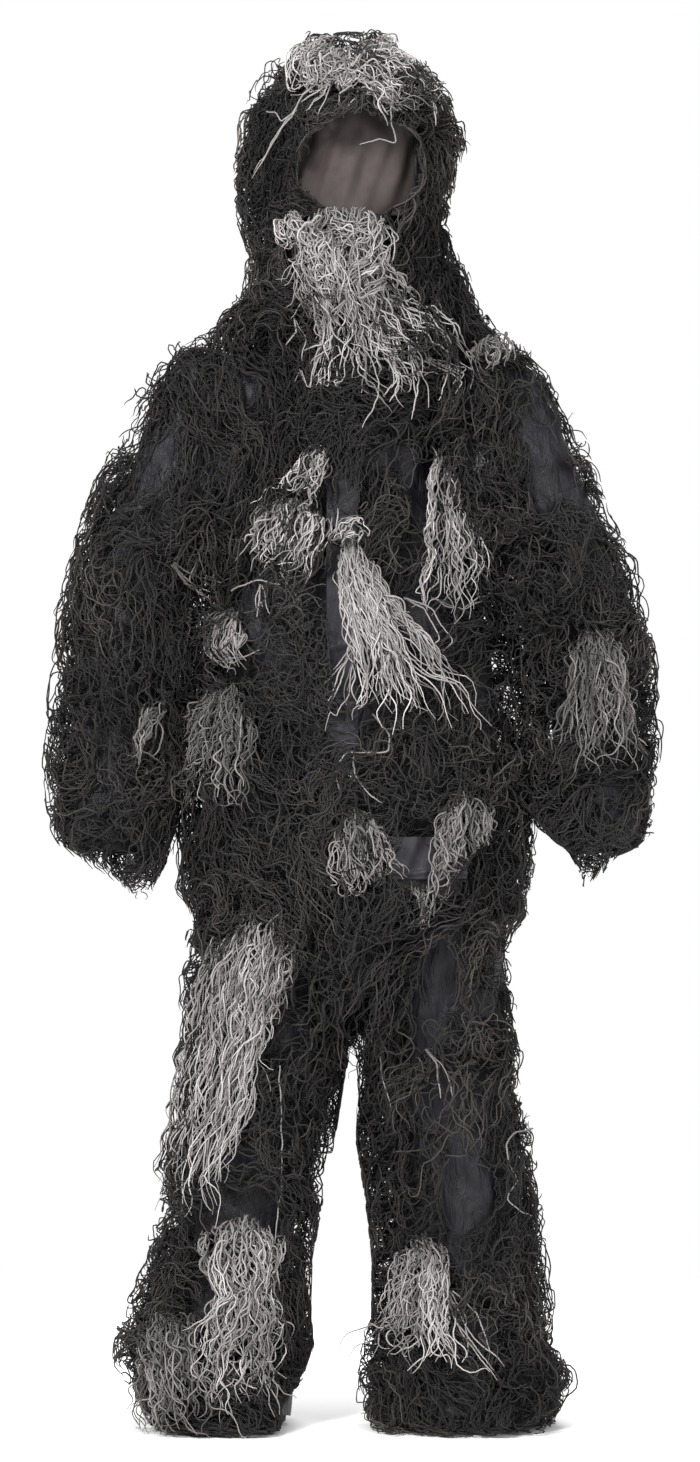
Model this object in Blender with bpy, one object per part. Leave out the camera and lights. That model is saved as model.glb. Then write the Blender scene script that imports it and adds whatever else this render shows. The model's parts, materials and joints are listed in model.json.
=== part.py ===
"""A ghillie suit, as worn by a standing adult: a hooded jacket and trousers covered in tied-on yarn.

Metres, +Z up. The front faces -Y and the wearer's left is +X. The origin is on the floor, between the feet.
Each cloth panel is a thin shell, and the yarn tied to it is one thick mat outside it.
"""

import math

import bmesh
import bpy
from mathutils import Vector

# Driving dimensions
CLOTH = 0.003
YARN_NEAR = 0.003
YARN_FAR = 0.027
TUFT_NEAR = YARN_FAR + 0.003
TUFT_FAR = YARN_FAR + 0.014
LINING_NEAR = CLOTH + 0.0022
LINING_FAR = CLOTH + 0.0045
SEAM_ANGLE = math.radians(0.4)
JOINT_GAP = 0.0015

HEM_Z = 0.70
COLLAR_GAP = 0.004
ARMHOLE_LOW = 1.285
ARMHOLE_HIGH = 1.437
ARMHOLE_ANGLE = math.radians(62)
ARMHOLE_EDGE = 0.015
# height, half width, front depth and back depth of the jacket's cloth
JACKET = [
    (0.70, 0.209, 0.113, 0.150),
    (0.80, 0.205, 0.113, 0.153),
    (0.90, 0.199, 0.113, 0.153),
    (1.00, 0.191, 0.113, 0.151),
    (1.07, 0.181, 0.113, 0.150),
    (1.15, 0.160, 0.113, 0.149),
    (1.24, 0.125, 0.113, 0.147),
    (1.335, 0.091, 0.113, 0.140),
    (1.38, 0.091, 0.109, 0.130),
    (1.42, 0.104, 0.098, 0.116),
    (1.437, 0.125, 0.090, 0.107),
    (1.455, 0.150, 0.080, 0.095),
    (1.475, 0.124, 0.070, 0.082),
    (1.50, 0.078, 0.060, 0.066),
]
JACKET_ROWS = [0.70, 0.84, 0.98, 1.08, 1.18, 1.285, 1.30, 1.42, 1.437, 1.455, 1.475, 1.497]

ZIP_X = -0.018
ZIP_TOP = 1.405
ZIP_BOTTOM = 0.72
TAPE_WIDTH = 0.0115
TEETH_WIDTH = 0.0022
TAPE_THICK = 0.0012
FRONT_Y = -0.113
PANEL_TO_TAPE = 0.0012
SLIDER_HALF = 0.0048
SLIDER_DEPTH = 0.0036
SLIDER_LENGTH = 0.014
SLIDER_DROP = 0.001
SLOT_HALF = 0.0026
SLIDER_WALL = 0.0012
PULL_PIN_HALF = 0.0042
PULL_PIN_THICK = 0.001
PULL_PIN_DROP = 0.008
PULL_TAB_HALF = 0.0019
PULL_LENGTH = 0.012

FLAP_LEFT_X = 0.006
FLAP_RIGHT_X = -0.036
FLAP_TOP = 1.362
FLAP_BOTTOM = 0.735
FLAP_THICK = 0.0018
FLAP_Y = -0.1275
SNAP_X = -0.003
SNAP_HEIGHTS = (1.30, 1.113, 0.86)
SNAP_RADIUS = 0.006

POCKET_ANGLE = math.radians(26)
POCKET_HALF = math.radians(13)
POCKET_LOW = 0.706
POCKET_HIGH = 0.776
POCKET_DEPTH = 0.016
POCKET_WALL = 0.0015
POCKET_FLAP_WIDTH = 0.104
POCKET_FLAP_DROP = 0.056
YARN_OVER_POCKET_Z = 0.795

SHOULDER = Vector((0.205, 0.005, 1.365))
SHOULDER_RADIUS = 0.058
SHOULDER_DEPTH = 0.054
UPPER_TILT = math.radians(20.5)
UPPER_LENGTH = 0.283
FOREARM_TILT = math.radians(5)
FOREARM_LEAN = math.radians(5)
FOREARM_LENGTH = 0.34
ELBOW_BEND = math.radians(75)
ELBOW_TILT = (UPPER_TILT + FOREARM_TILT) / 2
# distance down the sleeve, half width and half depth of its cloth
UPPER_SLEEVE = [(0.0, 0.058, 0.054), (0.10, 0.058, 0.056), (0.20, 0.058, 0.057), (0.30, 0.057, 0.057)]
LOWER_SLEEVE = [
    (-0.02, 0.056, 0.057),
    (0.10, 0.055, 0.056),
    (0.22, 0.056, 0.055),
    (0.30, 0.057, 0.052),
    (0.35, 0.050, 0.046),
]

HIP = Vector((0.0, 0.02, 0.92))
HIP_RADIUS = 0.285
KNEE = Vector((0.0, -0.02, 0.48))
KNEE_BEND = math.radians(70)
# height, centre x, centre y, half width and half depth of each trouser leg's cloth
LEG_RIGHT = [
    (0.0, -0.180, -0.024, 0.094, 0.1336),
    (0.06, -0.185, -0.020, 0.104, 0.124),
    (0.12, -0.182, -0.008, 0.096, 0.104),
    (0.20, -0.165, 0.0, 0.081, 0.090),
    (0.30, -0.152, 0.004, 0.079, 0.086),
    (0.40, -0.138, 0.006, 0.080, 0.088),
    (0.50, -0.120, 0.008, 0.083, 0.090),
    (0.66, -0.120, 0.010, 0.083, 0.093),
]
LEG_LEFT = [
    (0.0, 0.152, -0.024, 0.104, 0.1336),
    (0.05, 0.157, -0.020, 0.118, 0.124),
    (0.12, 0.150, -0.008, 0.094, 0.104),
    (0.20, 0.146, 0.0, 0.085, 0.090),
    (0.30, 0.139, 0.004, 0.087, 0.086),
    (0.40, 0.127, 0.006, 0.085, 0.088),
    (0.50, 0.118, 0.008, 0.083, 0.090),
    (0.66, 0.118, 0.010, 0.083, 0.093),
]
SEAT_TOP = 0.985
WAIST_TOP = 1.02
# height, half width, front depth and back depth of the trousers' seat
SEAT = [
    (0.60, 0.196, 0.096, 0.112),
    (0.80, 0.196, 0.098, 0.116),
    (0.92, 0.180, 0.096, 0.112),
    (1.03, 0.160, 0.092, 0.102),
]

HEM_ELASTIC = [0.004, 0.024]

HOOD_HINGE = Vector((0.0, 0.157, 1.503))
HOOD_LOW = 1.505
HOOD_SPLIT = 1.745
CROWN_HEIGHT = 0.078
# height, half width, front depth and back depth of the hood's cloth
HOOD = [
    (1.50, 0.122, 0.108, 0.127),
    (1.60, 0.122, 0.108, 0.128),
    (1.68, 0.124, 0.110, 0.129),
    (1.745, 0.122, 0.108, 0.126),
]
FACE_ANGLE = math.radians(36)
FLAP_SIDE_ANGLE = math.radians(21)
FACE_FLAP_TOP = 1.607
FACE_FLAP_CLOTH_LOW = 1.515
FACE_FLAP_YARN_LOW = 1.476
BRIM_RADIUS = 0.015
BRIM_ANGLE = math.radians(52)
BRIM_TOP = 1.772
BRIM_DROP = 0.052


def smooth(stations, at):
    """Every value of a station table at this height, on a smooth curve through the stations."""
    count = len(stations)
    i = 0
    while i < count - 2 and at > stations[i + 1][0]:
        i += 1
    low, high = stations[i], stations[i + 1]
    before = stations[max(i - 1, 0)]
    after = stations[min(i + 2, count - 1)]
    span = high[0] - low[0]
    t = min(max((at - low[0]) / span, 0.0), 1.0)
    found = []
    for k in range(1, len(low)):
        slope_low = (high[k] - before[k]) / (high[0] - before[0]) * span
        slope_high = (after[k] - low[k]) / (after[0] - low[0]) * span
        found.append(
            (2 * t**3 - 3 * t**2 + 1) * low[k]
            + (t**3 - 2 * t**2 + t) * slope_low
            + (3 * t**2 - 2 * t**3) * high[k]
            + (t**3 - t**2) * slope_high
        )
    return found


def material(name, colour, roughness=0.9, metallic=0.0):
    found = bpy.data.materials.get(name)
    if found is None:
        found = bpy.data.materials.new(name)
        found.use_nodes = True
        shader = found.node_tree.nodes["Principled BSDF"]
        shader.inputs["Base Color"].default_value = (*colour, 1.0)
        shader.inputs["Roughness"].default_value = roughness
        shader.inputs["Metallic"].default_value = metallic
    return found


CLOTH_LOOK = ("dark_cloth", (0.042, 0.040, 0.048), 0.8)
YARN_LOOK = ("dark_yarn", (0.030, 0.028, 0.029), 0.95)
TUFT_LOOK = ("light_yarn", (0.42, 0.40, 0.41), 0.95)
FLAP_LOOK = ("flap_cloth", (0.060, 0.055, 0.064), 0.6)
VEIL_LOOK = ("veil_mesh", (0.12, 0.10, 0.095), 0.7)
ELASTIC_LOOK = ("elastic", (0.025, 0.025, 0.027), 0.9)
TAPE_LOOK = ("zip_tape", (0.020, 0.020, 0.022), 0.8)
METAL_LOOK = ("snap_metal", (0.55, 0.55, 0.57), 0.35, 1.0)

axes = {}


def joint(name, parent, pivot):
    """An empty on the joint's axis, that the pieces of one moving body hang from."""
    empty = bpy.data.objects.new(name + "_axis", None)
    bpy.context.scene.collection.objects.link(empty)
    here = Vector(pivot)
    if parent is not None:
        empty.parent = axes[parent][0]
        empty.location = here - axes[parent][1]
    else:
        empty.location = here
    axes[name] = (empty, here)


def add_piece(name, bm, body, look, smooth_angle=60):
    """Turns a bmesh in world coordinates into an object of one body."""
    empty, pivot = axes[body]
    bmesh.ops.translate(bm, verts=bm.verts, vec=-pivot)
    bmesh.ops.recalc_face_normals(bm, faces=bm.faces)
    mesh = bpy.data.meshes.new(name)
    bm.to_mesh(mesh)
    bm.free()
    mesh.shade_smooth()
    mesh.set_sharp_from_angle(angle=math.radians(smooth_angle))
    mesh.materials.append(material(*look))
    piece = bpy.data.objects.new(name, mesh)
    piece.parent = empty
    bpy.context.scene.collection.objects.link(piece)
    return piece


def steps(low, high, count):
    return [low + (high - low) * i / count for i in range(count + 1)]


def shell(name, body, look, point, columns, rows, near, far, ring=False, pole=False):
    """A closed solid between two offsets of a surface. point(column, row, offset) gives a place on it."""
    bm = bmesh.new()
    layers = []
    for offset in (near, far):
        grid = []
        for j, row in enumerate(rows):
            if pole and j == len(rows) - 1:
                grid.append([bm.verts.new(point(columns[0], row, offset))] * len(columns))
            else:
                grid.append([bm.verts.new(point(column, row, offset)) for column in columns])
        layers.append(grid)
    inner, outer = layers
    across = len(columns) if ring else len(columns) - 1

    def face(*corners):
        kept = list(dict.fromkeys(corners))
        if len(kept) > 2:
            bm.faces.new(kept)

    for j in range(len(rows) - 1):
        for i in range(across):
            k = (i + 1) % len(columns)
            face(outer[j][i], outer[j][k], outer[j + 1][k], outer[j + 1][i])
            face(inner[j][i], inner[j + 1][i], inner[j + 1][k], inner[j][k])
    for i in range(across):
        k = (i + 1) % len(columns)
        face(inner[0][i], inner[0][k], outer[0][k], outer[0][i])
        if not pole:
            face(inner[-1][i], outer[-1][i], outer[-1][k], inner[-1][k])
    if not ring:
        for j in range(len(rows) - 1):
            face(inner[j][0], outer[j][0], outer[j + 1][0], inner[j + 1][0])
            face(inner[j][-1], inner[j + 1][-1], outer[j + 1][-1], outer[j][-1])
    return add_piece(name, bm, body, look)


def box(name, body, look, low, high, bevel=0.0):
    bm = bmesh.new()
    bmesh.ops.create_cube(bm, size=1.0)
    size = Vector(high) - Vector(low)
    bmesh.ops.scale(bm, verts=bm.verts, vec=size)
    bmesh.ops.translate(bm, verts=bm.verts, vec=(Vector(low) + Vector(high)) / 2)
    if bevel:
        bmesh.ops.bevel(bm, geom=bm.edges, offset=bevel, segments=2, affect="EDGES", profile=0.5)
    return add_piece(name, bm, body, look, smooth_angle=30)


def disc(name, body, look, centre, radius, back, front, sides=12):
    """A round cap along Y, domed at its front."""
    bm = bmesh.new()
    turned = [(0.55 * radius, front), (0.9 * radius, front + 0.25 * (back - front)), (radius, back)]
    rings = []
    turns = [2 * math.pi * i / sides for i in range(sides)]
    for r, y in turned:
        places = [(centre[0] + r * math.cos(turn), y, centre[1] + r * math.sin(turn)) for turn in turns]
        rings.append([bm.verts.new(place) for place in places])
    for low, high in zip(rings, rings[1:]):
        for i in range(sides):
            k = (i + 1) % sides
            bm.faces.new((low[i], low[k], high[k], high[i]))
    bm.faces.new(rings[0])
    bm.faces.new(rings[-1])
    return add_piece(name, bm, body, look, smooth_angle=40)


def oval(table):
    """The surface of a closed garment tube. Its angle is 0 at the front and grows towards the wearer's left."""

    def point(angle, z, offset):
        half, front, back = smooth(table, z)
        depth = front if math.cos(angle) > 0 else back
        return Vector(((half + offset) * math.sin(angle), -(depth + offset) * math.cos(angle), z))

    return point


jacket_point = oval(JACKET)
hood_point = oval(HOOD)
seat_point = oval(SEAT)


def angle_at_x(table, x, z, offset):
    return math.asin(max(-1.0, min(1.0, x / (smooth(table, z)[0] + offset))))


def side_limit(z):
    """How far round from the front centre a jacket panel reaches, less where the armhole is open."""
    full = math.pi / 2 - SEAM_ANGLE
    rise = (z - ARMHOLE_LOW) / ARMHOLE_EDGE
    fall = (ARMHOLE_HIGH - z) / ARMHOLE_EDGE
    share = min(max(min(rise, fall), 0.0), 1.0)
    return full + (ARMHOLE_ANGLE - full) * share


def front_panel(side, edge_x):
    """A surface on one front of the jacket, from its centre edge (column 0) to its side seam (column 1)."""

    def point(column, z, offset):
        start = angle_at_x(JACKET, edge_x, z, offset)
        return jacket_point(start + (side * side_limit(z) - start) * column, z, offset)

    return point


def back_panel(column, z, offset):
    half_turn = side_limit(z)
    return jacket_point(math.pi - half_turn + 2 * half_turn * column, z, offset)


def make_jacket():
    left = front_panel(1, ZIP_X + TAPE_WIDTH + PANEL_TO_TAPE)
    right = front_panel(-1, ZIP_X - TAPE_WIDTH - PANEL_TO_TAPE)
    across = steps(0, 1, 5)
    shell("jacket_front_left", "torso", CLOTH_LOOK, left, across, JACKET_ROWS, -CLOTH, 0)
    shell("jacket_front_right", "torso", CLOTH_LOOK, right, across, JACKET_ROWS, -CLOTH, 0)
    shell("jacket_back", "torso", CLOTH_LOOK, back_panel, steps(0, 1, 8), JACKET_ROWS, -CLOTH, 0)
    yarn_left = front_panel(1, FLAP_LEFT_X + 0.005)
    yarn_right = front_panel(-1, FLAP_RIGHT_X - 0.006)
    above_pocket = [YARN_OVER_POCKET_Z] + [z for z in JACKET_ROWS if z > YARN_OVER_POCKET_Z]
    shell("jacket_yarn_front_left", "torso", YARN_LOOK, yarn_left, across, above_pocket, YARN_NEAR, YARN_FAR)
    shell("jacket_yarn_front_right", "torso", YARN_LOOK, yarn_right, across, JACKET_ROWS, YARN_NEAR, YARN_FAR)
    shell("jacket_yarn_back", "torso", YARN_LOOK, back_panel, steps(0, 1, 8), JACKET_ROWS, YARN_NEAR, YARN_FAR)
    around = steps(0, 2 * math.pi, 16)[:-1]
    shell(
        "neck_band", "torso", ELASTIC_LOOK, jacket_point, around, [1.475, 1.494],
        -LINING_FAR - COLLAR_GAP, -LINING_NEAR - COLLAR_GAP, ring=True,
    )


def make_zip():
    for name, side in (("zip_tape_left", 1), ("zip_tape_right", -1)):
        near = ZIP_X + side * 0.0003
        teeth = ZIP_X + side * TEETH_WIDTH
        far = ZIP_X + side * TAPE_WIDTH
        back = FRONT_Y + TAPE_THICK
        front = FRONT_Y - 0.0004
        proud = front - 0.0010
        outline = [(near, back), (far, back), (far, front), (teeth, front), (teeth, proud), (near, proud)]
        bm = bmesh.new()
        low = [bm.verts.new((x, y, ZIP_BOTTOM)) for x, y in outline]
        bottom = bm.faces.new(low)
        top = bmesh.ops.extrude_face_region(bm, geom=[bottom])
        raised = [v for v in top["geom"] if isinstance(v, bmesh.types.BMVert)]
        bmesh.ops.translate(bm, verts=raised, vec=(0, 0, ZIP_TOP - ZIP_BOTTOM))
        add_piece(name, bm, "torso", TAPE_LOOK, smooth_angle=30)
    back = FRONT_Y - 0.0018
    pin_y = back - 0.0021
    pin_z = ZIP_TOP - PULL_PIN_DROP
    joint("zip_slider", "torso", (ZIP_X, back, pin_z))
    slider_top = ZIP_TOP - SLIDER_DROP
    low = (ZIP_X - SLIDER_HALF, back - SLIDER_DEPTH, slider_top - SLIDER_LENGTH)
    slider = box("zip_slider", "zip_slider", METAL_LOOK, low, (ZIP_X + SLIDER_HALF, back, slider_top), 0.0008)
    inside = back - SLIDER_WALL
    low = (ZIP_X - 2 * SLIDER_HALF, back - 0.0030, pin_z - 0.0015)
    cut(slider, cutter("slider_eye", low, (ZIP_X + 2 * SLIDER_HALF, inside, pin_z + 0.0015)))
    low = (ZIP_X - SLOT_HALF, back - 2 * SLIDER_DEPTH, slider_top - 2 * SLIDER_LENGTH)
    cut(slider, cutter("slider_slot", low, (ZIP_X + SLOT_HALF, inside, pin_z + 0.0020)))
    joint("zip_pull", "zip_slider", (ZIP_X, pin_y, pin_z))
    half = PULL_PIN_THICK / 2
    pull = bmesh.new()
    low = (ZIP_X - PULL_PIN_HALF, pin_y - half, pin_z - half)
    add_block(pull, low, (ZIP_X + PULL_PIN_HALF, pin_y + half, pin_z + half))
    piece = add_piece("zip_pull", pull, "zip_pull", METAL_LOOK, smooth_angle=30)
    low = (ZIP_X - PULL_TAB_HALF, pin_y - 0.0007, pin_z - PULL_LENGTH)
    tab = cutter("pull_tab", low, (ZIP_X + PULL_TAB_HALF, pin_y + 0.0003, pin_z + 0.0002))
    join = piece.modifiers.new("tab", "BOOLEAN")
    join.object = tab
    join.operation = "UNION"
    join.solver = "EXACT"


def add_block(bm, low, high):
    made = bmesh.ops.create_cube(bm, size=1.0)["verts"]
    bmesh.ops.scale(bm, verts=made, vec=Vector(high) - Vector(low))
    bmesh.ops.translate(bm, verts=made, vec=(Vector(low) + Vector(high)) / 2)


def helper(name, bm):
    """A hidden shape that another piece's Boolean reads."""
    mesh = bpy.data.meshes.new(name)
    bmesh.ops.recalc_face_normals(bm, faces=bm.faces)
    bm.to_mesh(mesh)
    bm.free()
    found = bpy.data.objects.new(name, mesh)
    found.hide_render = True
    found.display_type = "WIRE"
    bpy.context.scene.collection.objects.link(found)
    return found


def cutter(name, low, high):
    bm = bmesh.new()
    add_block(bm, low, high)
    return helper(name, bm)


def cut(piece, tool):
    """Takes a hidden shape out of a piece."""
    modifier = piece.modifiers.new(tool.name, "BOOLEAN")
    modifier.object = tool
    modifier.operation = "DIFFERENCE"
    modifier.solver = "EXACT"


def make_storm_flap():
    joint("storm_flap", "torso", (FLAP_RIGHT_X, FLAP_Y + FLAP_THICK / 2, (FLAP_TOP + FLAP_BOTTOM) / 2))
    low = (FLAP_RIGHT_X, FLAP_Y, FLAP_BOTTOM)
    high = (FLAP_LEFT_X, FLAP_Y + FLAP_THICK, FLAP_TOP)
    box("storm_flap", "storm_flap", FLAP_LOOK, low, high, 0.0006)
    cap_back = FLAP_Y - 0.0003
    stud_front = FLAP_Y + FLAP_THICK + 0.0004
    for i, z in enumerate(SNAP_HEIGHTS, 1):
        centre = (SNAP_X, z)
        disc(f"snap_cap_{i}", "storm_flap", METAL_LOOK, centre, SNAP_RADIUS, cap_back, cap_back - 0.0020)
        disc(f"snap_stud_{i}", "torso", METAL_LOOK, centre, 0.7 * SNAP_RADIUS, FRONT_Y - 0.0006, stud_front)


def make_pocket():
    near, far = 0.0006, POCKET_DEPTH
    across = steps(POCKET_ANGLE - POCKET_HALF, POCKET_ANGLE + POCKET_HALF, 6)
    bag = shell(
        "pocket_left", "torso", CLOTH_LOOK, jacket_point, across, steps(POCKET_LOW, POCKET_HIGH, 2), near, far
    )
    bm = bmesh.new()
    inset = POCKET_WALL / 0.15
    columns = steps(POCKET_ANGLE - POCKET_HALF + inset, POCKET_ANGLE + POCKET_HALF - inset, 6)
    rows = (POCKET_LOW + POCKET_WALL, POCKET_HIGH + 0.01)
    grids = [
        [[bm.verts.new(jacket_point(a, z, offset)) for a in columns] for z in rows]
        for offset in (near + POCKET_WALL, far - POCKET_WALL)
    ]
    inner, outer = grids
    for i in range(len(columns) - 1):
        bm.faces.new((outer[0][i], outer[0][i + 1], outer[1][i + 1], outer[1][i]))
        bm.faces.new((inner[0][i], inner[1][i], inner[1][i + 1], inner[0][i + 1]))
        bm.faces.new((inner[0][i], inner[0][i + 1], outer[0][i + 1], outer[0][i]))
        bm.faces.new((inner[1][i], outer[1][i], outer[1][i + 1], inner[1][i + 1]))
    bm.faces.new((inner[0][0], outer[0][0], outer[1][0], inner[1][0]))
    bm.faces.new((inner[0][-1], inner[1][-1], outer[1][-1], outer[0][-1]))
    cut(bag, helper("pocket_hollow", bm))
    half, front = smooth(JACKET, POCKET_HIGH)[:2]
    along = Vector((half * math.cos(POCKET_ANGLE), front * math.sin(POCKET_ANGLE), 0)).normalized()
    out = Vector((along.y, -along.x, 0))
    hinge = jacket_point(POCKET_ANGLE, POCKET_HIGH + 0.008, POCKET_DEPTH + 0.004)
    joint("pocket_flap", "torso", hinge)
    bm = bmesh.new()
    corners = []
    for side in (-0.5, 0.5):
        for drop in (0.0, POCKET_FLAP_DROP):
            for depth in (0.0, FLAP_THICK):
                place = hinge + along * side * POCKET_FLAP_WIDTH + out * depth - Vector((0, 0, drop))
                corners.append(bm.verts.new(place))
    for face in ((0, 1, 3, 2), (4, 6, 7, 5), (0, 4, 5, 1), (2, 3, 7, 6), (1, 5, 7, 3), (0, 2, 6, 4)):
        bm.faces.new([corners[i] for i in face])
    bmesh.ops.bevel(bm, geom=bm.edges, offset=0.0005, segments=1, affect="EDGES")
    add_piece("pocket_flap_left", bm, "pocket_flap", FLAP_LOOK, smooth_angle=30)


class Limb:
    """A straight stretch of sleeve. Its angle is 0 away from the body and a quarter turn at the front."""

    def __init__(self, start, tilt, lean, side, table, elbow_at):
        self.start = Vector(start)
        self.elbow_at = elbow_at
        self.down = Vector((side * math.sin(tilt), -math.sin(lean), -math.cos(tilt))).normalized()
        self.out = self.down.cross(Vector((0, 1, 0))).normalized() * side
        self.front = self.down.cross(self.out).normalized() * side
        self.table = table

    def tube(self, angle, along, offset):
        half, depth = smooth(self.table, along)
        return self.ring(angle, along, half + offset, depth + offset)

    def ring(self, angle, along, half, depth):
        middle = self.start + self.down * along
        return middle + self.out * half * math.cos(angle) + self.front * depth * math.sin(angle)

    def point(self, angle, along, offset):
        """The tube, closed above its start by a ball about the shoulder."""
        if along >= 0:
            return self.tube(angle, along, offset)
        share = math.sqrt(max(1 - (along / SHOULDER_RADIUS) ** 2, 0.0))
        radius = SHOULDER_RADIUS + offset
        depth = SHOULDER_DEPTH + offset
        return self.ring(angle, along * radius / SHOULDER_RADIUS, radius * share, depth * share)


def make_sleeve(name, side):
    shoulder = Vector((side * SHOULDER.x, SHOULDER.y, SHOULDER.z))
    upper = Limb(shoulder, UPPER_TILT, 0.0, side, UPPER_SLEEVE, UPPER_LENGTH)
    elbow = shoulder + upper.down * UPPER_LENGTH
    lower = Limb(elbow, FOREARM_TILT, FOREARM_LEAN, side, LOWER_SLEEVE, 0.0)
    slope = math.tan(ELBOW_BEND / 2)
    joint("sleeve_" + name, "torso", shoulder)
    joint("forearm_" + name, "sleeve_" + name, elbow)

    fold = Vector((side * math.sin(ELBOW_TILT), 0, -math.cos(ELBOW_TILT)))

    def meeting(limb, angle, offset, direction):
        """How far along a limb, from the elbow, its wall meets the plane that it folds shut on."""
        half, depth = smooth(limb.table, limb.elbow_at)
        across = limb.out * (half + offset) * math.cos(angle) + limb.front * (depth + offset) * math.sin(angle)
        reach = 0.0
        for _ in range(4):
            forward = -(across.y + limb.down.y * reach)
            level = direction * (JOINT_GAP + slope * max(forward, 0.0))
            reach = (level - across.dot(fold)) / limb.down.dot(fold)
        return reach

    def upper_point(angle, share, offset):
        inward = max(-math.cos(angle), 0.0)
        top = SHOULDER_RADIUS * (1.26 * inward**0.7 - 0.96)
        bottom = UPPER_LENGTH + meeting(upper, angle, offset, -1)
        return upper.point(angle, top + (bottom - top) * share, offset)

    def lower_point(angle, share, offset):
        top = meeting(lower, angle, offset, 1)
        return lower.tube(angle, top + (FOREARM_LENGTH - top) * share, offset)

    around = steps(0, 2 * math.pi, 12)[:-1]
    upper_rows = [0.0, 0.08, 0.18, 0.32, 0.60, 1.0]
    lower_rows = [0.0, 0.3, 0.6, 0.8, 0.93, 1.0]
    arm, wrist = "sleeve_" + name, "forearm_" + name
    for look, part, near, far in ((CLOTH_LOOK, "", -CLOTH, 0), (YARN_LOOK, "_yarn", YARN_NEAR, YARN_FAR)):
        shell(f"sleeve{part}_{name}", arm, look, upper_point, around, upper_rows, near, far, ring=True)
        shell(f"forearm{part}_{name}", wrist, look, lower_point, around, lower_rows, near, far, ring=True)
    shell(
        f"cuff_elastic_{name}", "forearm_" + name, ELASTIC_LOOK, lower.tube, around,
        [FOREARM_LENGTH - 0.022, FOREARM_LENGTH - 0.001], -LINING_FAR, -LINING_NEAR, ring=True,
    )
    return lower


def leg_point(table):
    """The surface of a trouser leg. Its angle is 0 towards +X and a quarter turn at the front."""

    def point(angle, z, offset):
        x, y, half, depth = smooth(table, z)
        return Vector((x + (half + offset) * math.cos(angle), y - (depth + offset) * math.sin(angle), z))

    return point


def hip_arc(y, gap):
    """The height at this depth of the arc about the hip axis, where the leg turns under the seat."""
    reach = HIP_RADIUS + gap
    return HIP.z - math.sqrt(reach**2 - (y - HIP.y) ** 2)


def make_leg(name, table):
    surface = leg_point(table)
    slope = math.tan(KNEE_BEND / 2)
    centre = smooth(table, KNEE.z)[0]
    joint("thigh_" + name, "torso", (centre, HIP.y, HIP.z))
    joint("shin_" + name, "thigh_" + name, (centre, KNEE.y, KNEE.z))

    def behind_knee(y):
        return slope * max(y - KNEE.y, 0.0) + JOINT_GAP

    def thigh_point(angle, share, offset):
        y = surface(angle, 0.58, offset).y
        top = hip_arc(y, JOINT_GAP)
        bottom = KNEE.z + behind_knee(y)
        place = surface(angle, bottom + (top - bottom) * share, offset)
        place.y = y
        return place

    def shin_point(angle, share, offset):
        y = surface(angle, 0.42, offset).y
        top = KNEE.z - behind_knee(y)
        return surface(angle, top * share, offset)

    around = steps(0, 2 * math.pi, 14)[:-1]
    thigh, shin = "thigh_" + name, "shin_" + name
    thigh_rows = steps(0, 1, 2)
    shin_rows = [0, 0.06, 0.15, 0.28, 0.45, 0.7, 1.0]
    for look, part, near, far in ((CLOTH_LOOK, "", -CLOTH, 0), (YARN_LOOK, "_yarn", YARN_NEAR, YARN_FAR)):
        shell(f"thigh{part}_{name}", thigh, look, thigh_point, around, thigh_rows, near, far, ring=True)
        shell(f"shin{part}_{name}", shin, look, shin_point, around, shin_rows, near, far, ring=True)
    shell(
        f"hem_elastic_{name}", "shin_" + name, ELASTIC_LOOK, surface, around, HEM_ELASTIC,
        -LINING_FAR, -LINING_NEAR, ring=True,
    )


def make_seat():
    def point(angle, share, offset):
        y = seat_point(angle, 0.66, offset).y
        bottom = hip_arc(y, -JOINT_GAP)
        return seat_point(angle, bottom + (SEAT_TOP - bottom) * share, offset)

    around = steps(0, 2 * math.pi, 18)[:-1]
    shell("trouser_seat", "torso", CLOTH_LOOK, point, around, steps(0, 1, 3), -CLOTH, 0, ring=True)
    shell(
        "waistband", "torso", ELASTIC_LOOK, seat_point, around, [SEAT_TOP + 0.0005, WAIST_TOP],
        -CLOTH, 0.001, ring=True,
    )


def crown_point(angle, share, offset):
    half, front, back = smooth(HOOD, HOOD_SPLIT)
    depth = front if math.cos(angle) > 0 else back
    scale = math.cos(share * math.pi / 2)
    return Vector(
        (
            (half + offset) * scale * math.sin(angle),
            -(depth + offset) * scale * math.cos(angle),
            HOOD_SPLIT + 0.001 + (CROWN_HEIGHT + offset) * math.sin(share * math.pi / 2),
        )
    )


def hood_side(side, low_angle, high_angle):
    """One side of the hood, from its face edge (column 0) to the back seam (column 1)."""

    def point(column, z, offset):
        start = low_angle if z < FACE_FLAP_TOP else high_angle
        return hood_point(side * (start + (math.pi - SEAM_ANGLE - start) * column), z, offset)

    return point


def sweep(name, body, look, path, radius, sides=8):
    """A round bar along a path, with flat ends, a little thinner towards them."""
    bm = bmesh.new()
    rings = []
    for i, place in enumerate(path):
        ahead = path[min(i + 1, len(path) - 1)] - path[max(i - 1, 0)]
        across = ahead.cross(Vector((0, 0, 1))).normalized()
        up = across.cross(ahead).normalized()
        share = 1 - 0.35 * abs(2 * i / (len(path) - 1) - 1) ** 3
        rings.append(
            [
                bm.verts.new(
                    place
                    + across * radius * share * math.cos(2 * math.pi * k / sides)
                    + up * radius * share * math.sin(2 * math.pi * k / sides)
                )
                for k in range(sides)
            ]
        )
    for low, high in zip(rings, rings[1:]):
        for k in range(sides):
            m = (k + 1) % sides
            bm.faces.new((low[k], low[m], high[m], high[k]))
    bm.faces.new(rings[0])
    bm.faces.new(rings[-1])
    return add_piece(name, bm, body, look)


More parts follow.
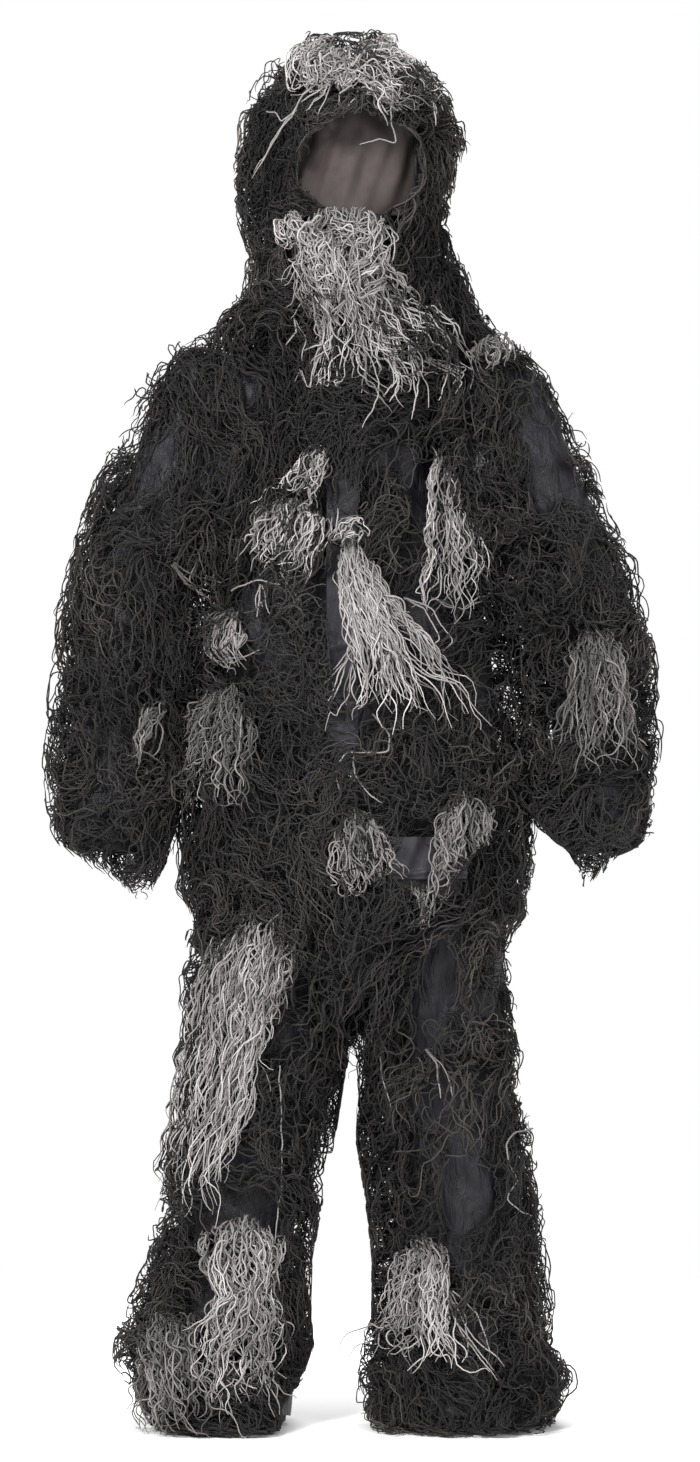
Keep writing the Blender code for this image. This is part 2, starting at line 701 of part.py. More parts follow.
def make_hood():
    joint("hood", "torso", HOOD_HINGE)
    rows = [HOOD_LOW, FACE_FLAP_TOP - 0.001, FACE_FLAP_TOP + 0.001, 1.68, HOOD_SPLIT]
    across = steps(0, 1, 6)
    flap_edge = FACE_ANGLE + math.radians(8)
    left = hood_side(1, FLAP_SIDE_ANGLE + 0.02, FACE_ANGLE)
    right = hood_side(-1, flap_edge, FACE_ANGLE)
    shell("hood_left", "hood", CLOTH_LOOK, left, across, rows, -CLOTH, 0)
    shell("hood_right", "hood", CLOTH_LOOK, right, across, rows, -CLOTH, 0)
    shell("hood_yarn_left", "hood", YARN_LOOK, left, across, rows, YARN_NEAR, YARN_FAR)
    shell("hood_yarn_right", "hood", YARN_LOOK, right, across, rows, YARN_NEAR, YARN_FAR)
    around = steps(0, 2 * math.pi, 16)[:-1]
    up = [0, 0.25, 0.5, 0.75, 1.0]
    for look, part, near, far in ((CLOTH_LOOK, "", -CLOTH, 0), (YARN_LOOK, "_yarn", YARN_NEAR, YARN_FAR)):
        shell(f"hood{part}_crown", "hood", look, crown_point, around, up, near, far, ring=True, pole=True)
    veil_angle = FACE_ANGLE + math.radians(5)
    shell(
        "face_veil", "hood", VEIL_LOOK, hood_point, steps(-veil_angle, veil_angle, 8),
        [FACE_FLAP_TOP - 0.004, 1.68, HOOD_SPLIT], -CLOTH - 0.0042, -CLOTH - 0.0030,
    )
    path = []
    for angle in steps(-BRIM_ANGLE, BRIM_ANGLE, 10):
        drop = BRIM_DROP * (angle / BRIM_ANGLE) ** 2
        edge = hood_point(angle, HOOD_SPLIT, YARN_FAR + BRIM_RADIUS + 0.002)
        path.append(edge + Vector((0, 0, BRIM_TOP - HOOD_SPLIT - drop)))
    sweep("hood_brim", "hood", YARN_LOOK, path, BRIM_RADIUS)
    joint("face_flap", "hood", hood_point(0, FACE_FLAP_TOP, 0.0008))
    columns = steps(-FACE_ANGLE - math.radians(6), FLAP_SIDE_ANGLE - math.radians(1), 6)
    shell(
        "face_flap", "face_flap", CLOTH_LOOK, hood_point, columns,
        [FACE_FLAP_CLOTH_LOW, FACE_FLAP_TOP - 0.003], 0.0008, 0.003,
    )
    shell(
        "face_flap_yarn", "face_flap", TUFT_LOOK, hood_point, columns,
        [FACE_FLAP_YARN_LOW, 1.53, FACE_FLAP_TOP - 0.003], 0.0036, 0.018,
    )


def tuft(name, body, surface, table, low, high, bottom, top):
    """A hank of light yarn on a garment tube, between two heights. low and high are its x spans there."""

    def point(column, share, offset):
        z = bottom + (top - bottom) * share
        span_low = low[0] + (high[0] - low[0]) * share
        span_high = low[1] + (high[1] - low[1]) * share
        x = span_low + (span_high - span_low) * column
        found = smooth(table, z)
        if len(found) == 4:
            angle = math.acos(max(-1.0, min(1.0, (x - found[0]) / (found[2] + offset))))
        else:
            angle = math.asin(max(-1.0, min(1.0, x / (found[0] + offset))))
        return surface(angle, z, offset)

    shell(name, body, TUFT_LOOK, point, steps(0, 1, 4), steps(0, 1, 5), TUFT_NEAR, TUFT_FAR)


def make_tufts(left_forearm):
    tuft("tuft_chest_right", "torso", jacket_point, JACKET, (-0.115, -0.055), (-0.085, -0.045), 1.145, 1.285)
    tuft("tuft_chest_left", "torso", jacket_point, JACKET, (0.095, 0.155), (0.092, 0.128), 1.105, 1.262)
    tuft("tuft_centre", "torso", jacket_point, JACKET, (0.014, 0.128), (0.013, 0.034), 0.955, 1.185)
    right, left = leg_point(LEG_RIGHT), leg_point(LEG_LEFT)
    tuft("tuft_thigh_right", "thigh_right", right, LEG_RIGHT, (-0.195, -0.085), (-0.180, -0.070), 0.495, 0.615)
    tuft("tuft_shin_right", "shin_right", right, LEG_RIGHT, (-0.205, -0.105), (-0.185, -0.115), 0.10, 0.275)
    tuft("tuft_shin_left", "shin_left", left, LEG_LEFT, (0.055, 0.150), (0.062, 0.110), 0.10, 0.255)

    def forearm(column, share, offset):
        return left_forearm.tube(math.radians(60 + 60 * column), 0.10 + 0.15 * share, offset)

    grid = steps(0, 1, 4)
    shell("tuft_forearm_left", "forearm_left", TUFT_LOOK, forearm, grid, grid, TUFT_NEAR, TUFT_FAR)

    def crown(column, share, offset):
        return crown_point(math.radians(-34 + 88 * column), 0.36 + 0.30 * share, offset)

    shell("tuft_hood", "hood", TUFT_LOOK, crown, steps(0, 1, 6), steps(0, 1, 3), TUFT_NEAR, TUFT_FAR - 0.003)


for old in list(bpy.data.objects):
    bpy.data.objects.remove(old)

joint("torso", None, (0, 0, 0))
make_jacket()
make_zip()
make_storm_flap()
make_pocket()
make_seat()
make_leg("left", LEG_LEFT)
make_leg("right", LEG_RIGHT)
make_hood()
forearm_left = make_sleeve("left", 1)
make_sleeve("right", -1)
make_tufts(forearm_left)
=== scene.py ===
"""Looks of the ghillie suit: sewn cloth, tied yarn strands, light grey tufts, veil, flaps and trim.

Metres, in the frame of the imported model: +Z up, the front faces -Y, the wearer's left is +X.
Outlines and tufts seen from the front are tables in millimetres.
"""

import json
import math

import bpy
import numpy as np
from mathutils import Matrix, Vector
from mathutils.bvhtree import BVHTree


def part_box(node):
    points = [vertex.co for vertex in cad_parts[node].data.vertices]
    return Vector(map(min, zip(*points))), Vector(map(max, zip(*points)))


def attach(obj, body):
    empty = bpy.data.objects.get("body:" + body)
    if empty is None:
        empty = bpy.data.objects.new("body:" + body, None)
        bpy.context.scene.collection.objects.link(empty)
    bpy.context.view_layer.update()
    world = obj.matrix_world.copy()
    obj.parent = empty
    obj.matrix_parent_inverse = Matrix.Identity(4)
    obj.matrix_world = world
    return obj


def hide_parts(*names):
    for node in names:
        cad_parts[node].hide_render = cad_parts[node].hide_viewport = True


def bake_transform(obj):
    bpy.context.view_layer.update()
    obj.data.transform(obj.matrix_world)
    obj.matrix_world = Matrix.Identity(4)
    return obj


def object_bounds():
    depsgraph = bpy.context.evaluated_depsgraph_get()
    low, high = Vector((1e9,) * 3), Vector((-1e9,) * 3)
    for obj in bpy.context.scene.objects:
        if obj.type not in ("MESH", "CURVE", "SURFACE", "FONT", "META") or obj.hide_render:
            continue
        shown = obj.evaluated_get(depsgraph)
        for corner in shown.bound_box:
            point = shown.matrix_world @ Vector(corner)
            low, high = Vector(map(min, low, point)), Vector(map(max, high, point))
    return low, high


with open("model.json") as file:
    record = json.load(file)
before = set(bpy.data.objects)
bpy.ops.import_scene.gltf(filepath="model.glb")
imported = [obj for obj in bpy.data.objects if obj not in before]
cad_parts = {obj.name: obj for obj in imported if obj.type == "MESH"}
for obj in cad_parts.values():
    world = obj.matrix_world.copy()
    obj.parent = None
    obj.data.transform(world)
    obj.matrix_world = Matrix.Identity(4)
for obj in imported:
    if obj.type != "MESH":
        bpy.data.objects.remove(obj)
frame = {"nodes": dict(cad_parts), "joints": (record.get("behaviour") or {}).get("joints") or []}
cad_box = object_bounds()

nodes = frame["nodes"]
DOWN = np.array((0.0, 0.0, -1.0))
FRONT = np.array((0.0, -1.0, 0.0))
ROUND = 2 * math.pi
QUARTER = math.pi / 2
SIDES = (("left", 1), ("right", -1))
MM = 1000

# how far strands stay off the cloth, how thick they are and how many points they have
STRAND_LOW = 0.004
STRAND_HIGH = 0.036
DARK_RADIUS = 0.00115
LIGHT_RADIUS = 0.00135
DARK_POINTS = 23
LIGHT_POINTS = 40
# strands in one bundle, and in one of the short bundles at a cuff or a hem
PER = 21
PER_FRINGE = 12


# ---------------------------------------------------------------- numbers


def unit(v):
    return v / np.maximum(np.linalg.norm(v, axis=-1, keepdims=True), 1e-9)


class Waves:
    """Smooth noise made of a few plane waves, with one value or a vector at each point."""

    def __init__(self, seed, wavelength, count=7):
        rng = np.random.default_rng(seed)
        size = ROUND / (wavelength * rng.uniform(0.6, 1.7, count))
        self.k = unit(rng.normal(size=(count, 3))) * size[:, None]
        self.phase = rng.uniform(0, ROUND, count)
        self.along = unit(np.cross(self.k, rng.normal(size=(count, 3))))
        self.scale = 1.5 / math.sqrt(count)

    def value(self, p):
        return np.sin(p @ self.k.T + self.phase).sum(-1) * self.scale

    def vector(self, p):
        return np.sin(p @ self.k.T + self.phase) @ self.along * self.scale


# ---------------------------------------------------------------- surfaces read off the CAD nodes


def tree_of(names):
    points, faces = [], []
    for name in names:
        mesh = nodes[name].data if name in nodes else bpy.data.objects[name].data
        first = len(points)
        points.extend(v.co.copy() for v in mesh.vertices)
        faces.extend([first + i for i in f.vertices] for f in mesh.polygons)
    return BVHTree.FromPolygons(points, faces)


class Tube:
    """The outer surface of some CAD nodes round a line, by an angle (0 at +X, a quarter turn at the front)
    and a share t of the line. A capped end goes on as half of an ellipsoid, for t beyond it. Where no nodes
    are named, sizes gives the half width and half depth at each end."""

    def __init__(self, names, start, end, level, cap=0.0, cap_at=1.0, turns=72, rows=36, sizes=None):
        self.start = np.array(start, float)
        self.end = np.array(end, float)
        self.level = unit(np.array(level, float))
        self.span = float((self.end - self.start) @ self.level)
        self.cap, self.cap_at = cap, cap_at
        self.front = unit(FRONT - self.level * (FRONT @ self.level))
        self.side = np.cross(self.front, self.level)
        if self.side[0] < 0:
            self.side = -self.side
        if sizes is not None:
            a = ROUND * np.arange(turns) / turns
            t = np.linspace(0, 1, rows + 1)[:, None]
            across = sizes[0][0] * (1 - t) + sizes[1][0] * t
            deep = sizes[0][1] * (1 - t) + sizes[1][1] * t
            self.grid = 1 / np.sqrt((np.cos(a) / across) ** 2 + (np.sin(a) / deep) ** 2)
            self.turns, self.rows = turns, rows
            return
        tree = tree_of(names)
        grid = np.full((rows + 1, turns), np.nan)
        for k in range(rows + 1):
            centre = self.start + (self.end - self.start) * k / rows
            for j in range(turns):
                a = ROUND * j / turns
                way = self.side * math.cos(a) + self.front * math.sin(a)
                hit = tree.ray_cast(Vector(centre + way * 0.5), Vector(-way), 0.49)
                if hit[0] is not None:
                    grid[k, j] = 0.5 - hit[3]
        here = np.arange(rows + 1)
        for j in range(turns):
            good = ~np.isnan(grid[:, j])
            if good.any():
                grid[:, j] = np.interp(here, here[good], grid[good, j])
        good = ~np.isnan(grid[0])
        turn = np.arange(turns)
        for k in range(rows + 1):
            grid[k] = np.interp(turn, turn[good], grid[k, good], period=turns)
        for _ in range(3):
            grid = (np.roll(grid, 1, 1) + 2 * grid + np.roll(grid, -1, 1)) / 4
            grid[1:-1] = (grid[:-2] + 2 * grid[1:-1] + grid[2:]) / 4
        self.grid, self.turns, self.rows = grid, turns, rows

    def radius(self, a, t):
        x = (a / ROUND * self.turns) % self.turns
        y = np.clip(t, 0, 1) * self.rows
        j, k = np.floor(x).astype(int), np.minimum(np.floor(y).astype(int), self.rows - 1)
        u, v = x - j, y - k
        j, j1 = j % self.turns, (j + 1) % self.turns
        g = self.grid
        return (g[k, j] * (1 - u) + g[k, j1] * u) * (1 - v) + (g[k + 1, j] * (1 - u) + g[k + 1, j1] * u) * v

    def place(self, a, t, offset=0.0):
        """Points on the surface. On the cap, t goes on by 1 up the quarter circle past the capped end."""
        a, t = np.broadcast_arrays(np.asarray(a, float), np.asarray(t, float))
        over = np.clip(t - 1 if self.cap_at == 1 else -t, 0, 1) * (self.cap > 0)
        rise = over * math.pi / 2
        r = self.radius(a, t) + offset
        way = np.cos(a)[..., None] * self.side + np.sin(a)[..., None] * self.front
        along = self.start + np.clip(t, 0, 1)[..., None] * (self.end - self.start)
        past_end = (t - np.clip(t, 0, 1)) * self.span * (self.cap == 0)
        beyond = np.where(over > 0, np.sin(rise) * (self.cap + offset), past_end)
        sign = 1 if self.cap_at == 1 or self.cap == 0 else -1
        return along + way * (r * np.cos(rise))[..., None] + self.level * (beyond * sign)[..., None]

    def out(self, a, t):
        """Outward directions."""
        e = 1e-3
        over = self.place(a, t + e) - self.place(a, t - e)
        round_it = self.place(a + e, t) - self.place(a - e, t)
        n = unit(np.cross(round_it, over))
        away = self.place(a, t, 0.01) - self.place(a, t)
        return n * np.where((n * away).sum(-1, keepdims=True) < 0, -1, 1)

    def read(self, p):
        """(direction away from the line, offset from the surface, whether the point is beside the tube,
        how far past its ends it is)."""
        t = ((p - self.start) @ self.level) / self.span
        kept = np.clip(t, 0, 1)
        v = p - (self.start + kept[..., None] * (self.end - self.start))
        x, y = v @ self.side, v @ self.front
        flat = np.hypot(x, y)
        a = np.arctan2(y, x)
        r = self.radius(a, kept)
        beyond = (t - kept) * self.span
        capped = (beyond > 0) if self.cap_at == 1 else (beyond < 0)
        capped = capped & (self.cap > 0)
        size = np.maximum(np.hypot(flat, beyond), 1e-9)
        cap = max(self.cap, 1e-3)
        edge = 1 / np.sqrt((flat / size / r) ** 2 + (beyond / size / cap) ** 2)
        radial = (x[..., None] * self.side + y[..., None] * self.front) / np.maximum(flat, 1e-9)[..., None]
        ball = radial * (flat / size)[..., None] + self.level * (beyond / size)[..., None]
        way = np.where(capped[..., None], ball, radial)
        offset = np.where(capped, size - edge, flat - r)
        beside = capped | ((t >= 0) & (t <= 1))
        return way, offset, beside, np.abs(beyond)

    def keep(self, p, low, high):
        """Points pushed out to the lowest offset and drawn back from beyond the highest."""
        way, offset, beside, beyond = self.read(p)
        push = np.where(beside, np.maximum(low - offset, 0), 0)
        draw = np.where(beside | (beyond < 0.14), np.clip(offset - high, 0, 0.05) * 0.4, 0)
        return p + way * (push - draw)[..., None]


def box_centre(name):
    return np.array([(a + b) / 2 for a, b in zip(*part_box(name))])


def joint_place(name):
    return np.array(next(joint["pos_m"] for joint in frame["joints"] if joint["name"] == name))


JACKET = ["jacket_front_left", "jacket_front_right", "jacket_back"]
torso_low, torso_high = (v.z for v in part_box("jacket_back"))
torso = Tube(JACKET, (0, 0.02, torso_low), (0, 0.02, torso_high), (0, 0, 1))
hood_low, hood_high = (v.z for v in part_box("hood_left"))
hood = Tube(
    ["hood_left", "hood_right"], (0, 0.01, hood_low), (0, 0.01, hood_high), (0, 0, 1),
    cap=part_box("hood_crown")[1].z - hood_high,
)
THIGH_TOP = 0.68
sleeves, forearms, thighs, shins = {}, {}, {}, {}
for side, sign in SIDES:
    shoulder = joint_place(f"sleeve_{side}_raise")
    elbow = joint_place(f"elbow_{side}_bend")
    knee_z = joint_place(f"knee_{side}_bend")[2]
    cuff = elbow + (box_centre("cuff_elastic_" + side) - elbow) * 1.03
    sleeves[side] = Tube(["sleeve_" + side], shoulder, elbow, elbow - shoulder, cap=0.058, cap_at=0.0)
    forearms[side] = Tube(["forearm_" + side], elbow, cuff, cuff - elbow)
    thigh_x = box_centre("thigh_" + side)[0]
    hem_x = box_centre("hem_elastic_" + side)[0]
    thighs[side] = Tube(["thigh_" + side], (thigh_x, 0.01, THIGH_TOP), (thigh_x, 0.008, knee_z), (0, 0, -1))
    shins[side] = Tube(["shin_" + side], (thigh_x, 0.008, knee_z), (hem_x, -0.024, 0.0), (0, 0, -1))

# the cloth between the collar and the sleeve heads, and the skirt of the hood that lies on the shoulders
yokes, gussets = {}, {}
for side, sign in SIDES:
    start = np.array((0.115 * sign, 0.010, 1.275))
    end = np.array((0.232 * sign, 0.006, 1.272))
    gussets[side] = Tube([], start, end, end - start, sizes=((0.085, 0.072), (0.062, 0.044)))
    start = np.array((0.070 * sign, 0.008, 1.374))
    end = sleeves[side].start + np.array((0.012 * sign, 0.0, -0.002))
    yokes[side] = Tube([], start, end, end - start, sizes=((0.058, 0.066), (0.054, 0.052)))
skirt = Tube(
    [], (0, 0.012, hood_low + 0.03), (0, 0.008, 1.455), (0, 0, -1), sizes=((0.121, 0.116), (0.148, 0.098)),
)


# where a piece that hangs over a joint goes from one body to the next
def over_shoulder(side, sign):
    return "torso", "sleeve_" + side, (0.10 * sign, 0, 1.37), (0.20 * sign, 0, 1.365)


def over_armpit(side, sign):
    return "torso", "sleeve_" + side, (0.13 * sign, 0, 1.28), (0.21 * sign, 0, 1.28)


OVER_NECK = ("torso", "hood", (0, 0, 1.46), (0, 0, 1.53))
OVER_RIGHT_KNEE = ("thigh_right", "shin_right", (0, 0, 0.52), (0, 0, 0.44))

class FrontDepth:
    """How far forward the yarn reaches, at each x and z seen from the front."""

    def __init__(self, names, step=0.006):
        low, high = cad_box
        self.low, self.step = (low.x - 0.03, low.z - 0.02), step
        self.nx = int((high.x - low.x + 0.06) / step) + 1
        self.nz = int((high.z - low.z + 0.04) / step) + 1
        tree = tree_of(names)
        depth = np.full((self.nz, self.nx), np.nan)
        for k in range(self.nz):
            for j in range(self.nx):
                start = Vector((self.low[0] + j * step, -1.0, self.low[1] + k * step))
                hit = tree.ray_cast(start, Vector((0, 1, 0)), 1.05)
                if hit[0] is not None:
                    depth[k, j] = hit[0].y
        for _ in range(12):
            near = [np.roll(depth, s, axis) for s, axis in ((1, 0), (-1, 0), (1, 1), (-1, 1))]
            with np.errstate(all="ignore"):
                filled = np.nanmean(np.stack(near), axis=0)
            depth = np.where(np.isnan(depth), filled, depth)
        depth = np.where(np.isnan(depth), 0.0, depth)
        for _ in range(4):
            for axis in (0, 1):
                depth = (np.roll(depth, 1, axis) + 2 * depth + np.roll(depth, -1, axis)) / 4
        self.depth = depth

    def at(self, x, z):
        u = np.clip((x - self.low[0]) / self.step, 0, self.nx - 1.001)
        v = np.clip((z - self.low[1]) / self.step, 0, self.nz - 1.001)
        j, k = u.astype(int), v.astype(int)
        u, v = u - j, v - k
        d = self.depth
        low = d[k, j] * (1 - u) + d[k, j + 1] * u
        high = d[k + 1, j] * (1 - u) + d[k + 1, j + 1] * u
        return low * (1 - v) + high * v


depth = FrontDepth([name for name in nodes if "yarn" in name])


# ---------------------------------------------------------------- materials


def new_material(name):
    made = bpy.data.materials.new(name)
    made.use_nodes = True
    return made, made.node_tree, made.node_tree.nodes["Principled BSDF"]


def add_node(tree, kind, **values):
    made = tree.nodes.new(kind)
    for key, value in values.items():
        if key.startswith("in_"):
            made.inputs[key[3:].replace("_", " ")].default_value = value
        else:
            setattr(made, key, value)
    return made


def ramp(tree, source, stops):
    made = tree.nodes.new("ShaderNodeValToRGB")
    colours = made.color_ramp.elements
    for i, (at, colour) in enumerate(stops):
        element = colours[i] if i < 2 else colours.new(at)
        element.position = at
        element.color = (*colour, 1.0)
    tree.links.new(source, made.inputs["Fac"])
    return made.outputs["Color"]


def mixed(tree, kind, factor, a, b):
    made = tree.nodes.new("ShaderNodeMix")
    made.data_type, made.blend_type = "RGBA", kind
    made.inputs[0].default_value = factor
    for socket, value in ((made.inputs[6], a), (made.inputs[7], b)):
        if isinstance(value, tuple):
            socket.default_value = (*value, 1.0)
        else:
            tree.links.new(value, socket)
    return made.outputs[2]


def yarn_look(name, dark, mid, bright, sheen):
    """Yarn: each strand has its own tone, darkened towards its root as painted shade, with soft clouds of dye
    over neighbouring strands.
    """
    made, tree, shader = new_material(name)
    tone = add_node(tree, "ShaderNodeAttribute", attribute_name="tone")
    strand = ramp(tree, tone.outputs["Fac"], [(0.0, dark), (1.0, bright), (0.55, mid)])
    place = add_node(tree, "ShaderNodeTexCoord")
    clouds = add_node(tree, "ShaderNodeTexNoise", in_Scale=16.0, in_Detail=3.0)
    tree.links.new(place.outputs["Object"], clouds.inputs["Vector"])
    shade = ramp(tree, clouds.outputs["Fac"], [(0.25, (0.62, 0.62, 0.62)), (0.75, (1.0, 1.0, 1.0))])
    tree.links.new(mixed(tree, "MULTIPLY", 1.0, strand, shade), shader.inputs["Base Color"])
    shader.inputs["Roughness"].default_value = 0.85
    shader.inputs["Sheen Weight"].default_value = sheen
    shader.inputs["Sheen Roughness"].default_value = 0.45
    shader.inputs["Specular IOR Level"].default_value = 0.25
    return made


def cloth_look(name, dark, bright, roughness, weave, wrinkle, sheen):
    """Thin woven polyester: a fine weave, soft creases and a little wear."""
    made, tree, shader = new_material(name)
    place = add_node(tree, "ShaderNodeTexCoord")
    clouds = add_node(tree, "ShaderNodeTexNoise", in_Scale=22.0, in_Detail=6.0, in_Roughness=0.6)
    tree.links.new(place.outputs["Object"], clouds.inputs["Vector"])
    colour = ramp(tree, clouds.outputs["Fac"], [(0.3, dark), (0.72, bright)])
    threads = []
    for direction in ("Z", "X"):
        wave = add_node(
            tree, "ShaderNodeTexWave", wave_type="BANDS", bands_direction=direction,
            in_Scale=ROUND / weave / 20, in_Distortion=0.6, in_Detail=1.0,
        )
        tree.links.new(place.outputs["Object"], wave.inputs["Vector"])
        threads.append(wave.outputs["Fac"])
    woven = add_node(tree, "ShaderNodeMath", operation="MAXIMUM")
    tree.links.new(threads[0], woven.inputs[0])
    tree.links.new(threads[1], woven.inputs[1])
    shade = ramp(tree, woven.outputs[0], [(0.0, (0.75, 0.75, 0.75)), (1.0, (1.0, 1.0, 1.0))])
    tree.links.new(mixed(tree, "MULTIPLY", 0.7, colour, shade), shader.inputs["Base Color"])
    hang = add_node(tree, "ShaderNodeMapping")
    hang.inputs["Rotation"].default_value = (0.0, 0.35, 0.0)
    hang.inputs["Scale"].default_value = (1.7, 1.7, 0.5)
    tree.links.new(place.outputs["Object"], hang.inputs["Vector"])
    creases = add_node(
        tree, "ShaderNodeTexNoise", in_Scale=30.0, in_Detail=5.0, in_Roughness=0.6, in_Distortion=0.8,
    )
    tree.links.new(hang.outputs["Vector"], creases.inputs["Vector"])
    bump = add_node(tree, "ShaderNodeBump", in_Strength=wrinkle, in_Distance=0.010)
    tree.links.new(creases.outputs["Fac"], bump.inputs["Height"])
    fine = add_node(tree, "ShaderNodeBump", in_Strength=0.25, in_Distance=0.0004)
    tree.links.new(woven.outputs[0], fine.inputs["Height"])
    tree.links.new(bump.outputs["Normal"], fine.inputs["Normal"])
    tree.links.new(fine.outputs["Normal"], shader.inputs["Normal"])
    shader.inputs["Roughness"].default_value = roughness
    shader.inputs["Sheen Weight"].default_value = sheen
    shader.inputs["Sheen Roughness"].default_value = 0.4
    shader.inputs["Specular IOR Level"].default_value = 0.22
    return made


def metal_look(name, colour):
    """Nickel plate with fine scratches."""
    made, tree, shader = new_material(name)
    place = add_node(tree, "ShaderNodeTexCoord")
    scratches = add_node(tree, "ShaderNodeTexNoise", in_Scale=900.0, in_Detail=4.0)
    tree.links.new(place.outputs["Object"], scratches.inputs["Vector"])
    dark = tuple(c * 0.72 for c in colour)
    plate = ramp(tree, scratches.outputs["Fac"], [(0.3, dark), (0.7, colour)])
    tree.links.new(plate, shader.inputs["Base Color"])
    shader.inputs["Metallic"].default_value = 1.0
    shader.inputs["Roughness"].default_value = 0.28
    return made


def tape_look(name, colour):
    """Ribbed zip tape and coil."""
    made, tree, shader = new_material(name)
    place = add_node(tree, "ShaderNodeTexCoord")
    wave = add_node(tree, "ShaderNodeTexWave", wave_type="BANDS", bands_direction="Z", in_Scale=160.0)
    tree.links.new(place.outputs["Object"], wave.inputs["Vector"])
    dark = tuple(c * 0.45 for c in colour)
    tree.links.new(ramp(tree, wave.outputs["Fac"], [(0.2, dark), (0.8, colour)]), shader.inputs["Base Color"])
    bump = add_node(tree, "ShaderNodeBump", in_Strength=0.6, in_Distance=0.0006)
    tree.links.new(wave.outputs["Fac"], bump.inputs["Height"])
    tree.links.new(bump.outputs["Normal"], shader.inputs["Normal"])
    shader.inputs["Roughness"].default_value = 0.5
    return made


dark_yarn = yarn_look(
    "dark_yarn_strands", (0.0075, 0.0068, 0.0066), (0.028, 0.025, 0.0238), (0.085, 0.076, 0.070), 0.04,
)
light_yarn = yarn_look(
    "light_yarn_strands", (0.13, 0.12, 0.117), (0.36, 0.34, 0.335), (0.66, 0.63, 0.62), 0.1,
)
dim_yarn = yarn_look("dim_yarn_strands", (0.05, 0.046, 0.044), (0.15, 0.14, 0.135), (0.33, 0.31, 0.30), 0.1)
dark_cloth = cloth_look(
    "dark_woven_cloth", (0.006, 0.0056, 0.0072), (0.021, 0.0195, 0.0245), 0.46, 0.0011, 0.9, 0.0,
)
flap_cloth = cloth_look(
    "smooth_flap_cloth", (0.020, 0.0185, 0.023), (0.035, 0.033, 0.040), 0.5, 0.0011, 0.25, 0.0,
)
veil_cloth = cloth_look(
    "veil_mesh_cloth", (0.034, 0.027, 0.026), (0.066, 0.053, 0.051), 0.75, 0.0016, 0.10, 0.05,
)
elastic_cloth = cloth_look(
    "covered_elastic", (0.012, 0.012, 0.013), (0.024, 0.024, 0.027), 0.8, 0.002, 0.25, 0.05,
)
metal = metal_look("nickel_plate", (0.75, 0.75, 0.77))
tape = tape_look("zip_tape_and_coil", (0.05, 0.05, 0.054))


# ---------------------------------------------------------------- building meshes


def finish_piece(obj, body, look, replaced=()):
    obj.data.materials.clear()
    obj.data.materials.append(look)
    if isinstance(body, str):
        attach(obj, body)
    else:
        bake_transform(obj)
    if replaced:
        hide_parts(*replaced)
    return obj


def mesh_object(name, verts, faces, smooth=True):
    mesh = bpy.data.meshes.new(name)
    mesh.vertices.add(len(verts))
    mesh.vertices.foreach_set("co", np.asarray(verts, np.float32).ravel())
    faces = np.asarray(faces, np.int32)
    mesh.loops.add(faces.size)
    mesh.loops.foreach_set("vertex_index", faces.ravel())
    mesh.polygons.add(len(faces))
    mesh.polygons.foreach_set("loop_start", np.arange(0, faces.size, faces.shape[1], dtype=np.int32))
    mesh.polygons.foreach_set("loop_total", np.full(len(faces), faces.shape[1], np.int32))
    mesh.polygons.foreach_set("use_smooth", np.full(len(faces), smooth))
    mesh.update(calc_edges=True)
    obj = bpy.data.objects.new(name, mesh)
    bpy.context.scene.collection.objects.link(obj)
    return obj


def strand_object(name, lines, radius, tone, out):
    """Strands as three-sided tubes that thin towards their tips, in one mesh, each on its own patch of UV.
    Their tones are darkened towards the roots as painted shade.
    """
    count, n = lines.shape[:2]
    ahead = unit(np.gradient(lines, axis=1))
    side = unit(np.cross(ahead, out[:, None, :]))
    up = np.cross(side, ahead)
    taper = np.interp(np.linspace(0, 1, n), [0, 0.85, 1], [1, 0.85, 0.35])
    thickness = (radius[:, None] * taper)[..., None]
    verts = np.empty((count, n, 3, 3))
    for i in range(3):
        a = QUARTER + i * ROUND / 3
        verts[:, :, i] = lines + (side * math.cos(a) + up * math.sin(a)) * thickness
    index = np.arange(count * n * 3).reshape(count, n, 3)
    cells = math.ceil(math.sqrt(count))
    cell = 1.0 / cells
    u0 = (np.arange(count) % cells) * cell
    v0 = (np.arange(count) // cells) * cell
    va = v0[:, None] + cell * 0.95 * np.arange(n - 1) / (n - 1)
    vb = v0[:, None] + cell * 0.95 * np.arange(1, n) / (n - 1)
    faces, corners = [], []
    for i in range(3):
        k = (i + 1) % 3
        quad = np.stack([index[:, :-1, i], index[:, :-1, k], index[:, 1:, k], index[:, 1:, i]], axis=-1)
        faces.append(quad.reshape(-1, 4))
        left = u0[:, None] + cell * (0.05 + 0.3 * i)
        ua, ub = (np.broadcast_to(u, va.shape) for u in (left, left + cell * 0.3))
        patch = [np.stack(corner, -1) for corner in ((ua, va), (ub, va), (ub, vb), (ua, vb))]
        corners.append(np.stack(patch, axis=2).reshape(-1, 4, 2))
    obj = mesh_object(name, verts.reshape(-1, 3), np.concatenate(faces))
    layer = obj.data.uv_layers.new(name="OFBake")
    layer.data.foreach_set("uv", np.concatenate(corners).astype(np.float32).ravel())
    attribute = obj.data.attributes.new("tone", "FLOAT", "POINT")
    # painted shade: each strand's tone is darkened towards its root, where it lies in shadow close to the
    # cloth
    tone_with_painted_root_shade = tone[:, None] * np.interp(np.linspace(0, 1, n), [0, 0.3, 1], [0.45, 0.85, 1.08])
    attribute.data.foreach_set("value", np.repeat(np.clip(tone_with_painted_root_shade, 0, 1).ravel(), 3).astype(np.float32))
    return obj


